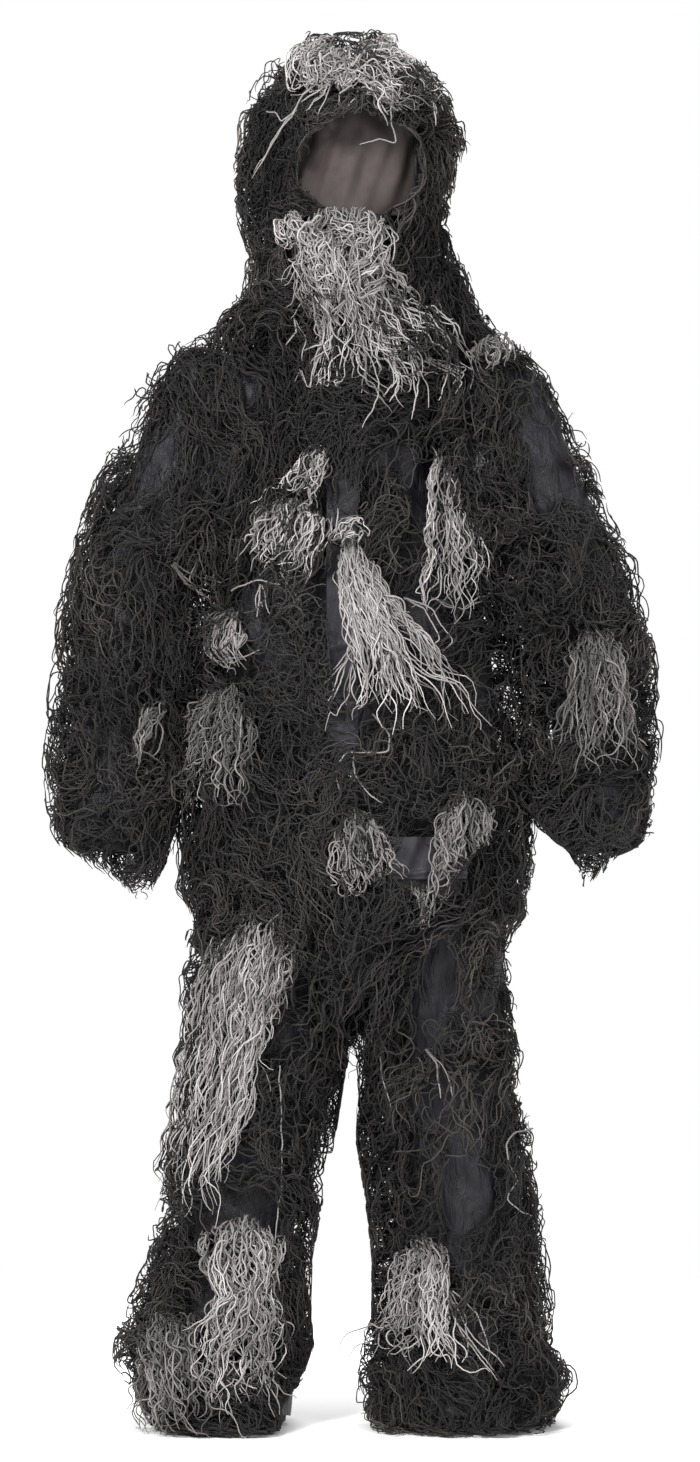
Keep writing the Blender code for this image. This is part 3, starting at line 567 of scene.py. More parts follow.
def sheet(
    name, place, columns, rows, body, look, slot_name, replaced=(), ring=False,
    thick=0.0012, held="hung", rests_on=(),
):
    """A sheet of cloth with a front and a back, from a function of two shares. A ring closes on itself."""
    u = np.linspace(0, 1, columns + 1)[: columns if ring else columns + 1]
    v = np.linspace(0, 1, rows + 1)
    points = place(*np.meshgrid(u, v))
    index = np.arange(points.shape[0] * points.shape[1]).reshape(points.shape[:2])
    right = np.roll(index, -1, 1) if ring else index[:, 1:]
    left = index if ring else index[:, :-1]
    faces = np.stack([left[:-1], right[:-1], right[1:], left[1:]], axis=-1).reshape(-1, 4)
    obj = mesh_object(name, points.reshape(-1, 3), faces)
    solid = obj.modifiers.new("thickness", "SOLIDIFY")
    solid.thickness = thick
    solid.offset = 0
    finish_piece(obj, body, look, replaced)


# ---------------------------------------------------------------- cloth


fold_noise = Waves(5, 0.16)
crease_noise = Waves(9, 0.075)


def folds(p, size, slant=0.6, pitch=0.040):
    """Ridges that run down and a little across, as thin cloth hangs when yarn pulls on it."""
    bend = fold_noise.value(p)
    phase = (p[..., 0] * 1.0 + p[..., 1] * 0.9 + p[..., 2] * slant) / pitch * ROUND / 2 + 2.3 * bend
    ridge = (0.5 + 0.5 * np.sin(phase)) ** 1.8
    strength = 0.45 + 0.55 * np.clip(0.5 + crease_noise.value(p), 0, 1)
    return 1.25 * size * (ridge * strength - 0.35)


def tube_cloth(
    name, tube, body, angles, shares, replaced, columns, rows, fold=0.0045, slant=0.6, offset=-0.0015, **more,
):
    """Dark cloth over a tube, between two angles and two shares of its length."""
    def place(u, v):
        a = angles[0] + (angles[1] - angles[0]) * u
        t = shares[0] + (shares[1] - shares[0]) * v
        base = tube.place(a, t, offset)
        return base + tube.out(a, t) * folds(base, fold, slant)[..., None]

    sheet(name, place, columns, rows, body, dark_cloth, "dark_cloth", replaced, **more)


SEAM = math.radians(0.35)
ALL_ROUND = (0, ROUND)
# the jacket's three panels, from the zip to the side seams
ZIP_LEFT, ZIP_RIGHT = QUARTER + math.radians(2.3), QUARTER + math.radians(13.2)
JACKET_SHARES = (0, 0.99)
tube_cloth(
    "jacket_cloth_front_left", torso, "torso", (ZIP_LEFT, SEAM), JACKET_SHARES,
    ["jacket_front_left"], 70, 110,
)
tube_cloth(
    "jacket_cloth_front_right", torso, "torso", (ZIP_RIGHT, math.pi - SEAM), JACKET_SHARES,
    ["jacket_front_right"], 70, 110, slant=-0.5,
)
tube_cloth(
    "jacket_cloth_back", torso, "torso", (-SEAM, -math.pi + SEAM), JACKET_SHARES, ["jacket_back"], 110, 110,
)
# the hood's two sides and crown
FACE_LEFT, FACE_RIGHT = QUARTER - math.radians(42), QUARTER + math.radians(37)
tube_cloth("hood_cloth_left", hood, "hood", (FACE_LEFT, -QUARTER + SEAM), (0, 1), ["hood_left"], 60, 40)
tube_cloth("hood_cloth_right", hood, "hood", (FACE_RIGHT, 3 * QUARTER - SEAM), (0, 1), ["hood_right"], 60, 40)
tube_cloth("hood_cloth_crown", hood, "hood", ALL_ROUND, (1.001, 1.999), ["hood_crown"], 90, 30, ring=True)


def forearm_sheet(upper, lower):
    """From the middle of the upper arm past the elbow to the cuff."""
    def place(u, v):
        a = ROUND * u
        first = np.clip(v * 2.2, 0, 1)
        second = np.clip(v * 2.2 - 1, 0, 1.2) / 1.2
        top = upper.place(a, 0.5 + 0.46 * first, 0.0012)
        bottom = lower.place(a, 0.04 + 0.93 * second, 0.0012)
        share = np.clip((v * 2.2 - 0.8) / 0.4, 0, 1)
        share = share * share * (3 - 2 * share)
        p = top * (1 - share[..., None]) + bottom * share[..., None]
        out = upper.out(a, np.full_like(a, 0.5))
        return p + out * folds(p, 0.005, 1.1)[..., None]

    return place


def trouser_sheet(thigh, shin):
    """A trouser leg from the crotch past the knee to the hem, which is a little higher in front."""
    x, _, knee = thigh.end

    def place(u, v):
        a = ROUND * u
        z = THIGH_TOP - (0.670 - 0.014 * np.maximum(np.sin(a), 0)) * v
        above = thigh.place(a, (THIGH_TOP - z) / (THIGH_TOP - knee), 0.001)
        below = shin.place(a, (knee - z) / knee, 0.001)
        share = np.clip((knee + 0.03 - z) / 0.06, 0, 1)
        p = above * (1 - share[..., None]) + below * share[..., None]
        p[..., 2] = z
        out = p - np.stack([np.full_like(z, x), np.zeros_like(z), z], -1)
        return p + unit(out) * folds(p, 0.006, 0.35)[..., None]

    return place


JOINT_REACH = 0.05
for side, sign in SIDES:
    upper, lower = sleeves[side], forearms[side]
    elbow, way = upper.end, unit(upper.end - upper.start) * JOINT_REACH
    tube_cloth(
        "sleeve_cloth_" + side, upper, "sleeve_" + side, ALL_ROUND, (-0.999, 0.52), ["sleeve_" + side],
        64, 60, slant=0.9 * sign, ring=True,
    )
    sheet(
        "forearm_cloth_" + side, forearm_sheet(upper, lower), 64, 110,
        ("sleeve_" + side, "forearm_" + side, tuple(elbow - way), tuple(elbow + way)),
        dark_cloth, "dark_cloth", ["forearm_" + side], ring=True, rests_on=["sleeve_cloth_" + side],
    )
    x, _, knee_z = thighs[side].end
    sheet(
        "trouser_cloth_" + side, trouser_sheet(thighs[side], shins[side]), 84, 130,
        ("thigh_" + side, "shin_" + side, (x, 0, knee_z + JOINT_REACH), (x, 0, knee_z - JOINT_REACH)),
        dark_cloth, "dark_cloth", ["thigh_" + side, "shin_" + side], ring=True,
    )

LOOSE = {"fold": 0.004, "offset": 0.0, "ring": True}
for side, sign in SIDES:
    tube_cloth(
        "armpit_cloth_" + side, gussets[side], over_armpit(side, sign), ALL_ROUND, (0, 1),
        [], 56, 16, slant=0.4, **LOOSE,
    )
    tube_cloth(
        "yoke_cloth_" + side, yokes[side], over_shoulder(side, sign), ALL_ROUND, (0, 1),
        [], 56, 24, slant=1.0, **LOOSE,
    )

shoulder_end = sleeves["left"].start + np.array((0.045, 0.0, -0.012))
shoulders = Tube(
    ["sleeve_left", "sleeve_right", *JACKET, "yoke_cloth_left", "yoke_cloth_right"],
    shoulder_end * (-1, 1, 1), shoulder_end, (1, 0, 0),
)

# the hood's skirt is open at the front, where the collar's own cloth stands and stays on the jacket
THROAT = math.radians(72)
DRAPED = {"fold": 0.004, "slant": 0.2, "offset": -0.002, "held": "draped"}
tube_cloth(
    "hood_skirt_cloth", skirt, OVER_NECK, (QUARTER + THROAT, QUARTER + ROUND - THROAT), (0, 1),
    [], 56, 16, **DRAPED,
)
tube_cloth(
    "collar_front_cloth", skirt, "torso", (QUARTER - THROAT, QUARTER + THROAT), (0, 1), [], 36, 16, **DRAPED,
)


def seat_sheet(u, v):
    """The trousers' seat, down to the low crotch between the legs."""
    low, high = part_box("trouser_seat")
    a = ROUND * u
    z = 0.95 + (0.60 - 0.95) * v
    x = (high.x - 0.004) * np.cos(a)
    y = (low.y + high.y) / 2 - (high.y - low.y) / 2 * 0.96 * np.sin(a)
    p = np.stack([x, y, z], -1)
    way = np.stack([np.cos(a), -np.sin(a), np.zeros_like(a)], -1)
    return p - way * 0.004 + way * folds(p, 0.005, 0.3)[..., None]


def storm_sheet(u, v):
    """The strip over the zip: nearly flat, with two creases and a waved free edge, and flat at its snaps."""
    low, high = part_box("storm_flap")
    x = low.x + (high.x - low.x) * u
    z = high.z + (low.z - high.z) * v
    wave = np.sin(z * 31 + 1.2 * np.sin(z * 11)) * 0.0016 * u + np.sin(z * 77 + x * 60) * 0.0005
    crease = -0.0035 * np.exp(-(((z - 1.030 - (x - low.x) * 0.25) / 0.004) ** 2))
    crease += -0.0022 * np.exp(-(((z - 1.170 + (x - low.x) * 0.5) / 0.005) ** 2))
    snaps = (1.30, 1.113, 0.86)
    near_snap = sum(np.exp(-(((x + 0.003) / 0.010) ** 2 + ((z - snap) / 0.012) ** 2)) for snap in snaps)
    y = (low.y + high.y) / 2 - (wave - crease * 0.8) * (1 - np.clip(near_snap, 0, 1))
    return np.stack([x, y, z], -1)


def pocket_sheet(u, v):
    """The pocket's flap: sagging along its top, with a curled lower edge."""
    low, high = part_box("pocket_flap_left")
    x = low.x + (high.x - low.x) * u
    y = low.y + (high.y - low.y) * u
    z = high.z + (low.z - high.z) * v
    sag = 0.0025 * np.sin(u * math.pi * 3 + v * 2.2) * v + 0.0016 * np.sin(u * 23 + v * 5)
    lip = -0.0035 * np.exp(-(((v - 0.82 - 0.05 * np.sin(u * 7)) / 0.05) ** 2))
    return np.stack([x, y, z], -1) + np.array((0.258, -0.966, 0.0)) * (sag - lip)[..., None]


def on_hood(name, u, v, start, turn, offset):
    """Heights, points and outward directions on the hood, over a CAD node's height and some degrees."""
    low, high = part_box(name)
    a = QUARTER + math.radians(start) - math.radians(turn) * u
    z = high.z + (low.z - high.z) * v
    t = (z - hood_low) / (hood_high - hood_low)
    return z, hood.place(a, t, offset), hood.out(a, t)


def veil_sheet(u, v):
    """The sheer mesh over the face, hanging in soft slanting folds from under the brim."""
    z, base, out = on_hood("face_veil", u, v, 41, 91, -0.0036)
    soft = 0.0035 * np.sin(base[..., 0] * 95 + (z - 1.6) * 55 + 1.3 * np.sin(z * 40))
    soft += 0.0022 * np.sin(base[..., 0] * 210 - (z - 1.6) * 70)
    hang = np.sin(np.clip(v, 0, 1) * math.pi) * 0.6 + 0.4
    return base + out * (soft * hang - 0.001)[..., None]


def flap_sheet(u, v):
    """The cloth that carries the light yarn below the veil."""
    _, base, out = on_hood("face_flap", u, v, 42, 62, 0.002)
    return base + out * (0.0012 * np.sin(u * 22 + v * 4))[..., None]


sheet("trouser_seat_cloth", seat_sheet, 96, 40, "torso", dark_cloth, "dark_cloth", ["trouser_seat"], True)
sheet(
    "storm_flap_cloth", storm_sheet, 16, 220, "storm_flap", flap_cloth, "flap_cloth", ["storm_flap"],
    thick=0.0014,
)
sheet(
    "pocket_flap_cloth", pocket_sheet, 60, 34, "pocket_flap", flap_cloth, "flap_cloth", ["pocket_flap_left"],
    thick=0.0014,
)
sheet("face_veil_mesh", veil_sheet, 90, 50, "hood", veil_cloth, "veil_mesh", ["face_veil"], thick=0.0005)
sheet("face_flap_cloth", flap_sheet, 50, 26, "face_flap", dark_cloth, "dark_cloth", ["face_flap"])


# ---------------------------------------------------------------- strands


# bare patches of cloth that the yarn hangs beside: centre x, z, half width, half height and how bare it is
BARE = [
    (-0.136, 1.369, 0.015, 0.034, 0.7),
    (0.095, 1.235, 0.022, 0.040, 0.75),
    (0.253, 1.256, 0.022, 0.050, 0.9),
    (0.083, 1.085, 0.015, 0.028, 0.7),
    (-0.015, 1.092, 0.018, 0.125, 1.0),
    (-0.016, 0.757, 0.013, 0.026, 0.7),
    (0.086, 0.743, 0.036, 0.028, 0.9),
    (0.112, 0.597, 0.026, 0.046, 0.85),
    (-0.068, 0.577, 0.014, 0.030, 0.7),
    (-0.123, 0.28, 0.030, 0.036, 0.85),
    (0.15, 0.312, 0.036, 0.052, 0.95),
    (0.009, 1.666, 0.080, 0.060, 0.98),
    (-0.019, 1.556, 0.070, 0.052, 0.96),
]

curl = Waves(21, 0.19, 9)
small_curl = Waves(22, 0.055, 9)
tone_waves = Waves(23, 0.14, 7)
lumps = Waves(24, 0.13, 9)
edge_noise = Waves(25, 0.045, 9)


def part_round_bare(p):
    """Moves front points sideways out of the bare patches."""
    front = p[..., 1] < 0.02
    moved = p.copy()
    for x, z, half, high, bare in BARE:
        dx, dz = (p[..., 0] - x) / half, (p[..., 2] - z) / high
        near = np.abs(dx) ** 2.6 + np.abs(dz) ** 2.6 + 0.22 * edge_noise.value(p)
        inside = front & (near < 1)
        edge = np.clip(1 - np.abs(dz) ** 2.6, 0, 1) ** (1 / 2.6) * half
        target = np.where(dx < 0, -edge, edge) * (0.85 + 0.3 * np.abs(dx)) + x
        moved[..., 0] = np.where(inside, p[..., 0] + (target - p[..., 0]) * bare, moved[..., 0])
    return moved


def grow(
    rng, root, heading, length, walls, low, high,
    fall=0.15, swirl=0.20, small=0.22, kink=0.0050, part=True,
):
    """Strands that leave their roots, fall under their weight, follow shared swirls and stay outside the
    walls. Over a lump they stand further off the cloth than over the hollow beside it."""
    n = len(root)
    step = (length / (DARK_POINTS - 1))[:, None]
    lump = 0.013 * np.clip(lumps.value(root), 0, 1.2)
    p, d = root.copy(), unit(heading)
    lines = [p]
    drift = rng.normal(size=(n, 3)) * 0.07
    for i in range(1, DARK_POINTS):
        drift = drift * 0.8 + rng.normal(size=(n, 3)) * 0.065
        d = unit(d + DOWN * fall + curl.vector(p) * swirl + small_curl.vector(p) * small + drift)
        p = p + d * step
        for wall in walls:
            p = wall.keep(p, (low + lump) * min(1.0, 0.3 + 0.22 * i), high + lump * 0.6)
        lines.append(p)
    lines = smoothed(np.stack(lines, axis=1), 2)
    lines = curled(rng, lines, kink)
    for wall in walls:
        lines = wall.keep(lines, low * 0.7, high + lump[:, None] * 0.6)
    if part:
        lines = part_round_bare(lines)
    return lines


def smoothed(lines, times=1):
    """The same strands with their sharp turns eased; the first point stays."""
    lines = lines.copy()
    for _ in range(times):
        lines[:, 1:-1] = (lines[:, :-2] + 2 * lines[:, 1:-1] + lines[:, 2:]) / 4
    return lines


def curled(rng, lines, size, wave=0.050, rough=0.00035):
    """Each strand wound in loose waves of its own, as yarn keeps them, and a little rough."""
    n = len(lines)
    ahead = np.gradient(lines, axis=1)
    along = np.cumsum(np.linalg.norm(ahead, axis=-1), axis=1)
    ahead = unit(ahead)
    side = unit(np.cross(ahead, unit(rng.normal(size=(n, 1, 3)))))
    up = np.cross(side, ahead)
    pitch = ROUND / (wave * rng.uniform(0.65, 1.7, (n, 1)))
    phase = rng.uniform(0, ROUND, (n, 2, 1))
    width = size * rng.uniform(0.3, 1.6, (n, 1)) * np.clip(along / 0.02, 0, 1)
    moved = lines + side * (np.cos(along * pitch + phase[:, 0]) * width)[..., None]
    moved += up * (np.sin(along * pitch * 0.83 + phase[:, 1]) * width)[..., None]
    fine = size * rng.uniform(0.15, 0.6, (n, 1))
    moved += unit(side + up * 0.4) * (np.sin(along * pitch * 1.8 + phase[:, 1] * 2) * fine)[..., None]
    shake = rng.normal(size=lines.shape) * rough
    shake[:, 0] = 0
    return moved + shake


def eased(v, start, end):
    """v, pressed together from start on so that it never passes end."""
    room = end - start
    over = np.maximum(v - start, 0)
    return np.where(v > start, start + room * (1 - np.exp(-over / room)), v)


def inside_box(p):
    """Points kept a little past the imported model's box at most, and above the floor."""
    low, high = cad_box
    made = p.copy()
    for axis, spare in ((0, 0.022), (1, 0.014)):
        made[..., axis] = eased(made[..., axis], high[axis] - 0.015, high[axis] + spare)
        made[..., axis] = -eased(-made[..., axis], -low[axis] - 0.015, -low[axis] + spare)
    made[..., 2] = eased(made[..., 2], high[2] + 0.005, high[2] + 0.04)
    made[..., 2] = np.maximum(made[..., 2], 0.003)
    return made


# how far out the yarn reaches on each side at a height, in mm: z, the right side's x and the left side's x
UPPER = [
    (1870, -100, 30), (1825, -118, 54), (1787, -149, 109), (1748, -147, 130), (1710, -151, 142),
    (1672, -168, 136), (1634, -168, 120), (1595, -151, 116), (1557, -134, 136), (1519, -137, 157),
    (1481, -177, 186), (1443, -250, 213), (1404, -277, 249), (1366, -294, 278), (1328, -309, 304),
    (1251, -344, 323), (1213, -370, 331), (1137, -384, 387), (1060, -392, 398), (984, -409, 411),
    (907, -414, 415), (869, -420, 402), (831, -404, 400), (793, -396, 396), (770, -376, 382),
    (754, -356, 350), (716, -312, 340), (678, -300, 332), (600, -295, 330),
]
CUFF_INSIDE = [(900, -100, 100), (820, -225, 225), (793, -235, 252), (754, -252, 290), (700, -268, 300)]
JACKET_HEM = [
    (900, -300, 300), (793, -238, 236), (716, -242, 235), (678, -210, 230), (640, -212, 198),
    (500, -215, 200),
]
LEGS = [
    (700, -212, 200), (640, -216, 196), (602, -229, 203), (563, -226, 214), (525, -220, 212),
    (487, -243, 218), (449, -234, 213), (400, -244, 224), (335, -260, 246), (295, -245, 250),
    (220, -274, 256), (140, -300, 264), (105, -342, 262), (67, -300, 304), (28, -272, 275), (0, -260, 265),
]
LEG_GAP = [
    (520, 0, 0), (450, -12, 4), (372, -24, 2), (295, -40, 14), (220, -54, 22), (140, -56, 22),
    (105, -52, 6), (67, -66, -4), (28, -95, 0),
]
# how low the trouser yarn hangs, from side to side, in mm: x and z
HEM_LOW = [(-345, 95), (-310, 44), (-280, 0), (-90, 0), (-50, 40), (0, 4), (50, 0), (275, 0), (310, 46)]
# below this height the yarn keeps out of the gap between the legs
GAP_TOP = 0.50


def limits(table, z):
    heights, right, left = np.array(table[::-1]).T / MM
    return np.interp(z, heights, right), np.interp(z, heights, left)


def trimmed(lines, over, least=5):
    """Strands cut where they first pass a limit; over is how far beyond it each point is."""
    n = lines.shape[1]
    beyond = over > 0.004
    last = np.where(beyond.any(1), np.maximum(beyond.argmax(1), least), n - 1)
    at = last[:, None] * np.linspace(0, 1, n)
    first = np.minimum(at.astype(int), n - 2)
    part = (at - first)[..., None]
    row = np.arange(len(lines))[:, None]
    return lines[row, first] * (1 - part) + lines[row, first + 1] * part


def fitted(p, body):
    """A piece's strands kept inside the suit's outline seen from the front, which is a little ragged."""
    rng = np.random.default_rng(len(p))
    own = np.clip(rng.normal(0, 0.007, (len(p), 1)), -0.014, 0.015)
    is_leg, is_forearm = body in ("thigh", "shin"), body == "forearm"
    table = LEGS if is_leg else JACKET_HEM if body == "torso" else UPPER
    inner = LEG_GAP if is_leg else CUFF_INSIDE if is_forearm else None
    x, z = p[..., 0], p[..., 2]
    right, left = limits(table, z)
    over = np.maximum(x - left, right - x)
    side = p[:, :1, 0]
    if inner:
        right, left = limits(inner, z)
        inward = np.where(side > 0, left - x, x - right)
        over = np.maximum(over, np.where((z < GAP_TOP) | is_forearm, inward, over))
    p = trimmed(p, over - own)
    x, z = p[..., 0], p[..., 2]
    ragged = own + 0.003 * edge_noise.value(p * (0.3, 0.3, 1.0))
    right, left = limits(table, z)
    left, right = left + ragged, right - ragged
    soft, soft_inside = 0.014, 0.0084
    x = eased(x, left - soft, left)
    x = -eased(-x, -right - soft, -right)
    if inner:
        right, left = limits(inner, z)
        if is_forearm:
            left, right = left - ragged * 0.6, right + ragged * 0.6
            at_left, at_right = x > 0, x < 0
        else:
            at_left, at_right = (z < GAP_TOP) & (side > 0), (z < GAP_TOP) & (side < 0)
        x = np.where(at_left, -eased(-x, -left - soft_inside, -left), x)
        x = np.where(at_right, eased(x, right - soft_inside, right), x)
    made = p.copy()
    made[..., 0] = x
    uneven = own * 1.3 + 0.008 * lumps.value(p) + 0.005 * edge_noise.value(p)
    for sign, edge in ((1, cad_box[1].y), (-1, -cad_box[0].y)):
        most = edge - 0.002 + np.clip(uneven, -0.02, 0.012)
        made[..., 1] = sign * eased(sign * made[..., 1], most - 0.022, most)
    if is_forearm:
        lowest = np.where(p[:, :1, 0] > 0, 0.728, 0.69) + 2 * ragged
        made[..., 2] = -eased(-z, -lowest - 0.05, -lowest)
    if is_leg:
        across, low = np.array(HEM_LOW).T / MM
        lowest = np.maximum(np.interp(made[..., 0], across, low) + 0.6 * own, 0.003)
        made[..., 2] = -eased(-z, -lowest - 0.02, -lowest)
    return inside_box(made)


def bundle_places(tube, rng, row_gap, column_gap, t0, t1, a0=0.0, a1=ROUND):
    """Jittered places all over a tube, evenly spaced, as angles and heights."""
    length = np.linalg.norm(tube.end - tube.start)
    angles, heights = [], []
    t = t0
    k = 0
    while t < t1:
        capped = tube.cap > 0 and (t > 1 if tube.cap_at == 1 else t < 0)
        shrink = math.cos(min(abs(t - tube.cap_at), 1) * QUARTER) if capped else 1.0
        around = float(tube.radius(np.linspace(a0, a1, 30), np.full(30, t)).mean()) * (a1 - a0) * shrink
        n = max(1, round(around / column_gap))
        a = a0 + (np.arange(n) + 0.5 * (k % 2) + rng.uniform(-0.35, 0.35, n)) / n * (a1 - a0)
        angles.append(a)
        reach = (tube.cap * QUARTER) if capped else length
        heights.append(np.full(n, t) + rng.uniform(-0.35, 0.35, n) * row_gap / reach)
        t += row_gap / reach
        k += 1
    lowest = min(t0, 0) if tube.cap else 0
    return np.concatenate(angles), np.clip(np.concatenate(heights), lowest, max(t1, 0.99))


def bundles(
    rng, tube, a, t, length, walls=None, per=PER, low=STRAND_LOW, high=STRAND_HIGH,
    lift=0.7, spread=0.55, **more,
):
    """Bundles of strands tied on at those places: their lines, outward directions and tones."""
    n = len(a)
    out = tube.out(a, t)
    knot = tube.place(a, t, 0.005)
    across = unit(np.cross(out, DOWN + 1e-3))
    along = np.cross(across, out)
    turn = rng.uniform(0, ROUND, n)
    lean = across * np.cos(turn)[:, None] + along * np.sin(turn)[:, None]
    size = rng.uniform(0.75, 1.25, n)
    i = np.repeat(np.arange(n), per)
    m = len(i)
    heading = out[i] * lift + lean[i] * 0.45 + rng.normal(size=(m, 3)) * spread + DOWN * 0.35
    root = knot[i] + across[i] * rng.normal(size=(m, 1)) * 0.007 + along[i] * rng.normal(size=(m, 1)) * 0.005
    long = length * size[i] * rng.uniform(0.55, 1.2, m)
    lines = grow(rng, root, heading, long, walls or [tube], low, high, **more)
    tone = 0.42 + 0.16 * tone_waves.value(knot)[i] + rng.normal(size=m) * 0.17
    return lines, out[i], np.clip(tone, 0, 1)


def hanging(rng, root, spread, way, lengths, fall, tone):
    """Bundles that hang free from their roots, with no cloth beside them."""
    root = np.repeat(root, PER, axis=0)
    n = len(root)
    heading = rng.normal(size=(n, 3)) * spread + way
    lines = grow(rng, root, heading, rng.uniform(*lengths, n), [], 0, 0, fall=fall)
    return lines, np.broadcast_to(FRONT, root.shape), np.clip(rng.normal(tone, 0.17, n), 0, 1)


def joined(parts):
    """The lines, outward directions and tones of several parts together."""
    return [np.concatenate(values) for values in zip(*parts)]


def thin(rng, lines):
    """Which strands stay: those that would cross a bare patch mostly go."""
    stays = np.ones(len(lines), bool)
    for x, z, half, high, bare in BARE:
        dx = (lines[..., 0] - x) / (half * 1.05)
        dz = (lines[..., 2] - z) / (high * 1.05)
        inside = ((dx * dx + dz * dz < 1) & (lines[..., 1] < 0.02)).mean(1) > 0.10
        stays &= ~(inside & (rng.random(len(lines)) > 0.04 + (1 - bare)))
    # nor does any strand jump from one side of a patch to the other
    steps = np.linalg.norm(np.diff(lines, axis=1), axis=-1)
    return stays & (steps.max(1) < 2.4 * np.median(steps, axis=1) + 0.004)


def dark_piece(name, body, parts, replaced=(), seed=1):
    rng = np.random.default_rng(seed)
    first = body if isinstance(body, str) else body[1]
    lines, out, tone = joined(parts)
    lines = fitted(lines, first.split("_")[0])
    stays = thin(rng, lines)
    lines, out, tone = lines[stays], out[stays], tone[stays]
    obj = strand_object(name, lines, DARK_RADIUS * rng.uniform(0.8, 1.2, len(lines)), tone, out)
    finish_piece(obj, body, dark_yarn, replaced)


# the jacket: front and back, from the hem to the neck
rng = np.random.default_rng(101)
a, t = bundle_places(torso, rng, 0.046, 0.045, 0.03, 0.99)
is_front, is_left = np.sin(a) > 0.02, np.cos(a) > 0
for place, chosen, replaced in (
    ("front_left", is_front & is_left, "jacket_yarn_front_left"),
    ("front_right", is_front & ~is_left, "jacket_yarn_front_right"),
    ("back_left", ~is_front & is_left, "jacket_yarn_back"),
    ("back_right", ~is_front & ~is_left, "jacket_yarn_back"),
):
    name = f"jacket_yarn_{place}_strands"
    rng = np.random.default_rng(sum(map(ord, name)))
    dark_piece(name, "torso", [bundles(rng, torso, a[chosen], t[chosen], 0.165)], [replaced])

# the trousers' seat under the jacket's hem
seat = Tube(["trouser_seat"], (0, 0.01, 0.90), (0, 0.01, 0.615), (0, 0, -1))
rng = np.random.default_rng(117)
a, t = bundle_places(seat, rng, 0.044, 0.046, 0.45, 0.98)
dark_piece("seat_yarn_strands", "torso", [bundles(rng, seat, a, t, 0.15)])

# yarn from the collar hangs over the top of the strip that covers the zip
rng = np.random.default_rng(118)
a = QUARTER + np.radians(rng.uniform(-9, 20, 22))
t = rng.uniform(0.80, 0.99, 22)
cover = bundles(rng, torso, a, t, 0.12, low=0.016, lift=0.5)
dark_piece("collar_yarn_strands", "torso", [cover], seed=6)

# the low crotch, where strands hang between the legs
rng = np.random.default_rng(120)
a = rng.uniform(0, ROUND, 30)
root = np.stack([0.035 * np.cos(a), 0.005 + 0.085 * np.sin(a), rng.uniform(0.60, 0.69, 30)], -1)
crotch = hanging(rng, root, (0.35, 0.5, 0.3), DOWN * 0.8, (0.08, 0.19), 0.2, 0.35)
dark_piece("crotch_yarn_strands", "torso", [crotch])

# hood: curlier and shorter, also over the crown, thick over the brim, longer where it hangs on the shoulders
rng = np.random.default_rng(131)
a, t = bundle_places(hood, rng, 0.038, 0.040, 0.02, 1.9)
open_face = (np.abs(a - QUARTER) < math.radians(36)) & (t < 0.97)
part = bundles(rng, hood, a[~open_face], t[~open_face], 0.105, high=0.030, swirl=0.30, small=0.30, fall=0.12)
dark_piece("hood_yarn_strands", "hood", [part], ["hood_yarn_left", "hood_yarn_right", "hood_yarn_crown"])
a = QUARTER + np.radians(rng.uniform(-54, 54, 44))
t = rng.uniform(1.02, 1.30, 44) - np.abs(a - QUARTER) * 0.18
brim = bundles(rng, hood, a, t, 0.085, low=0.014, high=0.050, swirl=0.34, small=0.40, fall=0.10, kink=0.006)
# the edges of the face opening, where strands curl over from the hood's sides
a = QUARTER + np.radians(np.concatenate([rng.uniform(36, 48, 16), rng.uniform(-48, -36, 16)]))
t = np.tile(np.linspace(0.10, 0.95, 16), 2)
edge = bundles(rng, hood, a, t, 0.085, low=0.008, high=0.034, swirl=0.28, small=0.3, fall=0.2, kink=0.004)
# left of the face flap the hood's yarn hangs right across
a = QUARTER - np.radians(rng.uniform(17, 40, 18))
t = rng.uniform(0.22, 0.80, 18)
under = bundles(
    rng, hood, a, t, 0.11, low=0.012, high=0.034, lift=0.3, spread=0.35, fall=0.25, swirl=0.16, small=0.2,
)
# a loose tuft that hangs off the brim on the left
ranges = ((0.108, 0.124), (-0.075, -0.01), (1.685, 1.725))
root = np.stack([rng.uniform(*ends, 5) for ends in ranges], -1)
loose = hanging(rng, root, 0.45, (0.75, 0, -0.25), (0.06, 0.10), 0.3, 0.45)
dark_piece("hood_brim_strands", "hood", [brim, edge, under, loose], ["hood_brim"], seed=2)

# the skirt and the collar inside it
rng = np.random.default_rng(137)
a, t = bundle_places(skirt, rng, 0.036, 0.042, 0.0, 0.9)
open_throat = np.abs(a - QUARTER) < math.radians(30)
a, t = a[~open_throat], t[~open_throat]
at_front = np.abs(a - QUARTER) < THROAT
for name, body, chosen, seed in (
    ("hood_skirt_strands", OVER_NECK, ~at_front, 3), ("collar_front_strands", "torso", at_front, 5),
):
    part = bundles(rng, skirt, a[chosen], t[chosen], 0.16, [skirt, torso], low=0.008, high=0.062, lift=1.0)
    dark_piece(name, body, [part], seed=seed)

